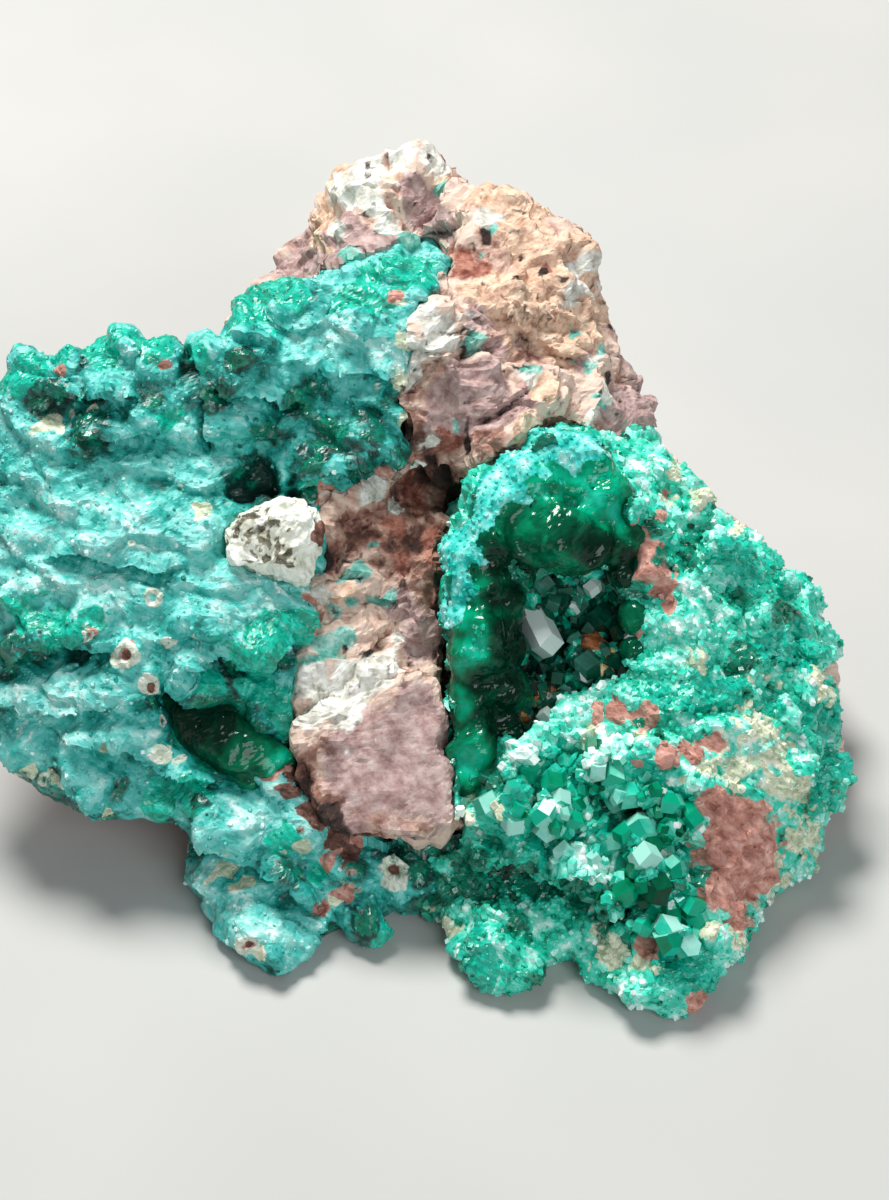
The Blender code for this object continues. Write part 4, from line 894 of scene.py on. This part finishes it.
def melted(name, masses):
    """One skin over a row of balls, with soft facets, and masks for rim, painted light and painted shade."""
    work = bmesh.new()
    for x, y, out, radius in masses:
        for vert in bmesh.ops.create_icosphere(work, subdivisions=3, radius=radius * MM)["verts"]:
            vert.co += seat(x, y, out - MASS_SINK * radius)
    mesh = bpy.data.meshes.new(name)
    work.to_mesh(mesh)
    work.free()
    item = bpy.data.objects.new(name, mesh)
    scene.collection.objects.link(item)
    melt = item.modifiers.new("Melt", "REMESH")
    melt.mode, melt.voxel_size = "VOXEL", GLASS_VOXEL_MM * MM
    soften = item.modifiers.new("Soften", "SMOOTH")
    soften.iterations, soften.factor = 14, 0.6
    plain(item)
    places, normals = read(item)
    view = front_view(places)
    big, big_tone = chips(places, 2.4, 52.0, soft=0.2)
    small, small_tone = chips(places, 0.9, 53.0, soft=0.1)
    relief = summed(0, (0.25, lumps(places, 1.8, 51.0)), (0.7, big), (0.12, small))
    write(item, bent(places) + normals * (relief * MM)[:, None])
    rim_gap = line_gap(view[:, :2], GLASS_RIM)[0] / RIM_REACH
    rim = np.clip(1.5 - rim_gap * (1 + 0.8 * lumps(places, 1.1, 54.0)), 0, 1)
    lit = spots_mask(view, places, GLASS_LIT, 0.4, 1.4, 55.0)
    deep = spots_mask(view, places, GLASS_SHADED, 0.3, 1.4, 56.0)
    level = summed(0.22, (0.34, lit * (1 - deep)), (-0.26, deep), (0.06, lumps(places, 1.2, 57.0)))
    store(item, level=level, rim=rim, grow=rim, facet=0.3 * big_tone + 0.3 * small_tone)
    return item


arch_piece = melted("emerald_arch", ARCH_MASSES)
left_pod = melted("left_emerald", LEFT_MASSES)

# %% Glass finish
# Dioptase is a hard, clear copper silicate, index about 1.66, deep emerald in any depth.
# Fine druse dusts its rim, so there it turns pale, rougher and opaque.
GLASS_GRAIN_MM = 0.5
THROUGH_SHARE = 0.16
GLASS_BODY = [(0.0, "#002a1b"), (0.2, "#005a3d"), (0.36, "#00895f"), (0.54, "#00ae86"), (0.74, "#26cbac"),
              (0.97, "#aef0e2")]
GLASS_FROST = [(0.3, "#08a090"), (0.45, "#2cc4b8"), (0.58, "#7fdbd2"), (0.72, "#d8f7f3")]
glassy, tree, shader = new_material("dioptase_glass")
spot = add(tree, "ShaderNodeTexCoord", out="Object")
grain = add(tree, NOISE, {"Vector": spot, "Scale": LUMP_SHARE / (GLASS_GRAIN_MM * MM), "Detail": 4.0,
                          "Roughness": 0.6})
level = add(tree, MASK, attribute_name="level", out="Fac")
for mask in ("tone", "facet"):
    tone = add(tree, MASK, attribute_name=mask, out="Fac")
    level = add(tree, MATH, {0: tone, 1: 0.5, 2: level}, operation="MULTIPLY_ADD")
level = add(tree, MATH, {0: grain, 1: 0.3, 2: level}, operation="MULTIPLY_ADD")
level = add(tree, MATH, {0: level, 1: 0.15}, operation="SUBTRACT")
body = add(tree, RAMP, {"Fac": level}, stops=GLASS_BODY)
dust = add(tree, MASK, attribute_name="rim", out="Fac")
dust = add(tree, MATH, {0: grain, 1: 1.3, 2: dust}, operation="MULTIPLY_ADD")
dust = add(tree, RANGE, {"Value": dust, "From Min": 1.05, "From Max": 1.25}, interpolation_type="SMOOTHSTEP")
frost = add(tree, RAMP, {"Fac": grain}, stops=GLASS_FROST)
skin = add(tree, MIX, {0: dust, 6: body, 7: frost}, out=2, data_type="RGBA")
tree.links.new(skin, shader.inputs["Base Color"])
for socket, clear, dusty in (("Roughness", 0.07, 0.5), ("Transmission Weight", THROUGH_SHARE, 0.0)):
    tree.links.new(add(tree, RANGE, {"Value": dust, "To Min": clear, "To Max": dusty}), shader.inputs[socket])
shader.inputs["IOR"].default_value = 1.66
shader.inputs["Specular IOR Level"].default_value = 0.1
soak = add(tree, "ShaderNodeVolumeAbsorption", {"Color": "#10e090", "Density": 500.0})
tree.links.new(soak, tree.nodes["Material Output"].inputs["Volume"])
finish_piece(arch_piece, glassy)
finish_piece(left_pod, glassy)

# %% [markdown]
# The hollow
#
# Inside the arch is a dark hollow, lined with larger prisms. Its wall is a dense copy of
# the imported lining. The prisms are the ones that the eye sees first, so each is placed one
# by one: six sides and a three-faced tip, which is the habit of dioptase.

# %% Wall of the hollow
wall = dense_copy("pocket_crystals", "hollow_wall", voxel_mm=0.2, smooths=3)
places, normals = read(wall)
view = front_view(places)
big, big_tone = chips(places, 1.8, 61.0, soft=0.06)
small, small_tone = chips(places, 0.8, 62.0)
relief = summed(0.3, (1.4, big), (0.5, small))
write(wall, bent(places) + normals * (relief * MM)[:, None])
GOLD_SPOTS = [(610, 656, 8), (606, 668, 9), (614, 676, 9), (622, 678, 7)]
RUST_SPOTS = [(556, 700, 16), (548, 690, 12), (570, 712, 12), (518, 748, 13), (512, 760, 12), (595, 643, 9),
              (606, 648, 7), (532, 715, 8)]
WALL_MASKS = [  # name, spots, raggedness, size in mm, seed
    ("gold", GOLD_SPOTS, 0.4, 0.8, 64.0),
    ("rust", RUST_SPOTS, 0.5, 0.8, 65.0),
    ("soft_rust", RUST_SPOTS, 0.2),
]
masks = piece_masks(view, places, WALL_MASKS)
# The wall sits at the dark end of the ramp: dark emerald, with the hollow's shade painted in as well.
store(wall, level=0.06 + 0.1 * lumps(places, 1.2, 63.0), gold=1.1 * masks["gold"], rust=masks["rust"],
      grow=1 - 0.8 * masks["soft_rust"], facet=0.5 * big_tone + 0.5 * small_tone)
WALL_LAYERS = [
    ("rust", [(0.3, "#331208"), (0.45, "#7a3a18"), (0.56, "#a8652c"), (0.72, "#d09a55")], 0.7),
    ("gold", [(0.3, "#7d5a1e"), (0.46, "#c79a4a"), (0.56, "#e6c57c"), (0.72, "#fbeebb")], 0.5),
]
dark_druse = mineral_finish("dark_emerald_druse", EMERALDS, WALL_LAYERS, grain_mm=0.4, fleck_mm=0.6,
                            roughs=(0.1, 0.4), bump_mm=0.12, ior=1.66)
finish_piece(wall, dark_druse, "pocket_crystals")


# %% Prisms in the hollow
TIP_DROP = 0.5  # how far the three faces of a tip cut down every other edge, in radii


def prism(foot, tip, width, turn):
    """Corners and faces of a six-sided prism with a three-faced tip."""
    axis = (tip - foot).normalized()
    side = axis.orthogonal().normalized()
    side.rotate(Matrix.Rotation(turn, 3, axis))
    other = axis.cross(side)
    radius = width / 2
    corners = []
    for end, drops in ((foot, (0, 0)), (tip - axis * radius * TIP_DROP, (0, -radius * TIP_DROP))):
        for i in range(6):
            arm = side * math.cos(math.pi * i / 3) + other * math.sin(math.pi * i / 3)
            corners.append(end + arm * radius + axis * drops[i % 2])
    corners.append(tip)
    faces = [(i, (i + 1) % 6, (i + 1) % 6 + 6, i + 6) for i in range(6)] + [(5, 4, 3, 2, 1, 0)]
    faces += [(12, 6 + i, 6 + (i + 1) % 6, 6 + (i + 2) % 6) for i in (0, 2, 4)]
    return corners, faces


def prisms_mesh(name, prisms):
    """Prisms with loose faces, so that each face may have its own level and tone."""
    points, faces, levels, tones = [], [], [], []
    for foot, tip, width, turn, level in prisms:
        corners, sides = prism(foot, tip, width, turn)
        for side in sides:
            faces.append(range(len(points), len(points) + len(side)))
            points += [tuple(corners[i]) for i in side]
            levels += [level] * len(side)
            tones += [noise.noise(Vector((len(faces) * 3.7, 0.5, 0.5)))] * len(side)
    mesh = bpy.data.meshes.new(name)
    mesh.from_pydata(points, [], faces)
    item = bpy.data.objects.new(name, mesh)
    scene.collection.objects.link(item)
    store(item, level=np.array(levels), facet=1.2 * np.array(tones))
    return item


# The level paints light: near 0.1 paints the hollow's shade, and near 1 paints grey reflections and glints.
HOLLOW_PRISMS = [  # foot x, y, out mm; tip x, y, out mm; width mm; turn; level
    (518, 584, -1.8, 553, 656, 1.2, 2.3, 0.5, 0.95), (560, 606, -2.4, 528, 578, 0.6, 2.2, 0.2, 0.12),
    (586, 670, -4.6, 574, 592, -1.0, 2.6, 0.9, 0.1), (622, 640, -3.8, 594, 610, 0.0, 2.2, 0.2, 0.08),
    (592, 695, -2.6, 588, 650, 1.0, 2.1, 0.6, 0.3), (602, 572, -2.0, 590, 592, 0.8, 1.3, 1.0, 0.9),
    (570, 560, -3.6, 562, 604, -0.6, 2.0, 0.1, 0.1), (524, 622, -3.2, 540, 662, -0.4, 1.7, 0.5, 0.2),
    (634, 655, -1.4, 630, 633, 1.0, 1.0, 0.8, 0.9), (520, 744, -3.0, 524, 700, 0.4, 2.1, 0.3, 0.25),
    (496, 704, -2.4, 518, 682, 0.0, 1.9, 0.7, 0.2), (546, 712, -2.2, 538, 686, 0.6, 1.7, 0.0, 0.3),
    (552, 726, -0.6, 544, 712, 1.4, 1.3, 0.4, 0.95), (592, 738, 0.4, 584, 720, 2.2, 1.5, 0.2, 0.95),
    (548, 752, 0.6, 540, 728, 2.4, 2.0, 0.9, 0.55), (578, 613, -1.0, 572, 603, 0.2, 0.6, 0.9, 1.0),
]
hollow_rows = [(seat(*row[:3]), seat(*row[3:6]), row[6] * MM, *row[7:]) for row in HOLLOW_PRISMS]
hollow_prisms = prisms_mesh("hollow_prisms", hollow_rows)
# A ramp from painted shade to painted grey reflection.
SHADE_TO_GLINT = [(0.0, "#02150f"), (0.2, "#04382a"), (0.4, "#0f5a45"), (0.6, "#3f8474"), (0.8, "#7fa79d"),
          (1.0, "#c9dad5")]
shade_and_glint = mineral_finish("shade_and_glint_dioptase", SHADE_TO_GLINT, [], grain_mm=1.2, fleck_mm=2.0, roughs=(0.08, 0.2),
                       bump_mm=0.02, ior=1.66)
finish_piece(hollow_prisms, shade_and_glint)

# %% [markdown]
# The cream knob
#
# A chalky calcite knob stands in its socket in the left crust. It is an angular lump
# with a worn, nearly flat front, small grains all over, and grey grit in the middle.

# %% Cream knob
KNOB_WEAR_MM, KNOB_WEAR_SHARE = 1.5, 0.8
KNOB_MIDDLE = [(264, 540, 30), (250, 525, 18), (285, 555, 18), (262, 515, 12)]
knob = dense_copy("calcite_knob", "cream_knob", voxel_mm=0.14, smooths=4)
places, normals = read(knob)
view = front_view(places)
worn_front = view[:, 2].max() - KNOB_WEAR_MM
grains = 1 - cell_gaps(places, 0.5, 71.0)[0]
relief = summed(0.05, (1.6, chips(places, 3.0, 72.0, soft=0.05)[0]), (0.22, grains),
                (0.6, chips(places, 1.1, 73.0, soft=0.05)[0]))
relief += 0.14 * lumps(places, 0.5, 79.0)
proud = np.clip(view[:, 2] - worn_front - 0.2 * lumps(places, 1.0, 78.0), 0, None)
places = places - proud[:, None] * np.array(OUT) * KNOB_WEAR_SHARE * MM
write(knob, bent(places) + normals * (relief * MM)[:, None])
grit = spots_mask(view, places, KNOB_MIDDLE, 0.5, 0.8, 74.0)
# Painted light and shade: lighter where the relief stands out and darker where it sinks.
level = summed(0.56, (0.16, lumps(places, 0.5, 75.0)), (0.2, np.clip(relief, -0.5, 0.5)), (-0.1, grit))
store(knob, level=level,
      grit=0.62 * grit + 0.5 * lumps(places, 0.4, 76.0) - 0.1,
      bare=spots_mask(view, places, [(322, 535, 12)], 0.4, 0.8, 77.0))
CREAMS = [(0.1, "#4d4a3a"), (0.35, "#9a967a"), (0.55, "#cfcfb5"), (0.75, "#e9ecdc"), (1.0, "#fbfdf6")]
KNOB_LAYERS = [("grit", [(0.35, "#3a362e"), (0.5, "#77725f"), (0.65, "#a9a68f")], 0.8),
               ("bare", [(0.35, "#43231c"), (0.5, "#7d5144"), (0.65, "#a07568")], 0.85)]
chalk = mineral_finish("chalky_calcite", CREAMS, KNOB_LAYERS, grain_mm=0.3, fleck_mm=0.4, roughs=(0.8, 0.55),
                       bump_mm=0.14, ior=1.5)
finish_piece(knob, chalk, "calcite_knob")

# %% [markdown]
# Growing the small crystals
#
# Thousands of crystals, from a seventh of a millimetre to just over two, cover the crusts.
# Nobody places those by hand, so one Geometry Nodes tree does it. It scatters points on
# the crust where the grow mask lets it, puts a crystal on each with its own lean, size and
# tone, and makes them real mesh. The points carry the crust's masks with them, so the
# crystals wear a finish of the crusts and follow the same zones as what they stand on.

# %% The tree that grows crystals
DENSITY_CAP = 1e8  # so high that the spacing alone sets how many points there are
SMALL_BIAS = 2.2  # above 1, so small crystals are the most common


def crystal_tree():
    tree = bpy.data.node_groups.new("grow_crystals", "GeometryNodeTree")
    tree.interface.new_socket("Geometry", in_out="INPUT", socket_type="NodeSocketGeometry")
    for name, kind in (("Crystal", "Object"), ("Finish", "Material"), ("Spacing", "Float"),
                       ("Smallest", "Float"), ("Largest", "Float"), ("Length", "Float"), ("Lean", "Float"),
                       ("Seed", "Int")):
        tree.interface.new_socket(name, in_out="INPUT", socket_type="NodeSocket" + kind)
    tree.interface.new_socket("Geometry", in_out="OUTPUT", socket_type="NodeSocketGeometry")
    source = tree.nodes.new("NodeGroupInput").outputs
    where = add(tree, "GeometryNodeInputNamedAttribute", {"Name": "grow"}, data_type="FLOAT")
    scatter = tree.nodes.new("GeometryNodeDistributePointsOnFaces")
    scatter.distribute_method = "POISSON"
    for socket, value in (("Mesh", source["Geometry"]), ("Distance Min", source["Spacing"]),
                          ("Density Factor", where), ("Seed", source["Seed"])):
        tree.links.new(value, scatter.inputs[socket])
    scatter.inputs["Density Max"].default_value = DENSITY_CAP
    lean = add(tree, "ShaderNodeCombineXYZ", {"X": source["Lean"], "Y": source["Lean"], "Z": math.pi})
    back = add(tree, "ShaderNodeVectorMath", {0: lean, 1: (-1, -1, -1)}, operation="MULTIPLY")
    turn = add(tree, "FunctionNodeRandomValue", {0: back, 1: lean, "Seed": 1}, data_type="FLOAT_VECTOR")
    turn = add(tree, "FunctionNodeEulerToRotation", {"Euler": turn})
    turn = add(tree, "FunctionNodeRotateRotation",
               {"Rotation": scatter.outputs["Rotation"], "Rotate By": turn}, rotation_space="LOCAL")
    chance = add(tree, "FunctionNodeRandomValue", {2: 0.0, 3: 1.0, "Seed": 2}, out=1)
    chance = add(tree, MATH, {0: chance, 1: SMALL_BIAS}, operation="POWER")
    size = add(tree, RANGE, {"Value": chance, "To Min": source["Smallest"], "To Max": source["Largest"]})
    tall = add(tree, MATH, {0: size, 1: source["Length"]}, operation="MULTIPLY")
    scale = add(tree, "ShaderNodeCombineXYZ", {"X": size, "Y": size, "Z": tall})
    shape = add(tree, "GeometryNodeObjectInfo", {"Object": source["Crystal"]}, out="Geometry")
    grown = add(tree, "GeometryNodeInstanceOnPoints",
                {"Points": scatter.outputs["Points"], "Instance": shape, "Rotation": turn, "Scale": scale})
    tone = add(tree, "FunctionNodeRandomValue", {2: -0.5, 3: 0.5, "Seed": 3}, out=1)
    grown = add(tree, "GeometryNodeStoreNamedAttribute", {"Geometry": grown, "Name": "tone", "Value": tone},
                data_type="FLOAT", domain="INSTANCE")
    grown = add(tree, "GeometryNodeRealizeInstances", {"Geometry": grown})
    grown = add(tree, "GeometryNodeSetMaterial", {"Geometry": grown, "Material": source["Finish"]})
    tree.links.new(grown, tree.nodes.new("NodeGroupOutput").inputs["Geometry"])
    return tree


def grow(name, base, shape, finish, slot, **values):
    """Crystals on a base, as a mesh of their own."""
    item = bpy.data.objects.new(name, base.data.copy())
    scene.collection.objects.link(item)
    modifier = item.modifiers.new("Grow crystals", "NODES")
    modifier.node_group = crystals
    values = dict(values, Crystal=shape, Finish=finish)
    for socket in crystals.interface.items_tree:
        if socket.name in values:
            modifier[socket.identifier] = values[socket.name]
    plain(item)
    write(item, read(item)[0])
    finish_piece(item, finish)


# %% Grow them
crystals = crystal_tree()
END_LOW, END_HIGH = Vector((0, 0, -0.5)), Vector((0, 0, 0.5))
stub = prisms_mesh("stub", [(END_LOW, END_HIGH, 1.0, 0.0, 0.0)])
stub.data.attributes.remove(stub.data.attributes["level"])
grow("left_sparkle", left, stub, druse, "left_druse",
     Spacing=0.55 * MM, Smallest=0.14 * MM, Largest=0.42 * MM, Length=1.1, Lean=1.1, Seed=1)
store(right, grow=front_share * (1 - faceted))
grow("right_sugar", right, stub, sugar, "right_druse",
     Spacing=0.55 * MM, Smallest=0.2 * MM, Largest=0.7 * MM, Length=1.2, Lean=1.0, Seed=2)
FACET_LIGHTER = 0.14
store(right, level=crust_level + FACET_LIGHTER,
      grow=front_share * np.clip(2 * faceted - 1, 0, 1) * np.clip(1 - 2 * bare, 0, 1))
grow("right_faceted", right, stub, glassy, "right_druse",
     Spacing=1.15 * MM, Smallest=0.8 * MM, Largest=2.2 * MM, Length=1.05, Lean=1.5, Seed=3)
store(right, grow=front_share * faceted, level=crust_level)
grow("right_small", right, stub, sugar, "right_druse",
     Spacing=0.9 * MM, Smallest=0.4 * MM, Largest=1.1 * MM, Length=1.3, Lean=1.2, Seed=6)
grow("hollow_druse", wall, stub, shade_and_glint, "pocket_crystals",
     Spacing=1.0 * MM, Smallest=0.5 * MM, Largest=1.6 * MM, Length=1.6, Lean=0.7, Seed=4)
grow("arch_frost", arch_piece, stub, glassy, "right_druse",
     Spacing=0.5 * MM, Smallest=0.2 * MM, Largest=0.5 * MM, Length=1.2, Lean=1.0, Seed=5)
bpy.data.objects.remove(stub)

# %% [markdown]
# Last
#
# The boxes before and after dressing are printed, so that they can be set side by side.

# %% Finish and print the boxes
size = {"cad": cad_box, "visual": [list(corner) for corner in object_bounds()]}
rounded = {key: [[round(c * 1000, 1) for c in corner] for corner in value] for key, value in size.items()}
print("boxes in mm:", rounded)
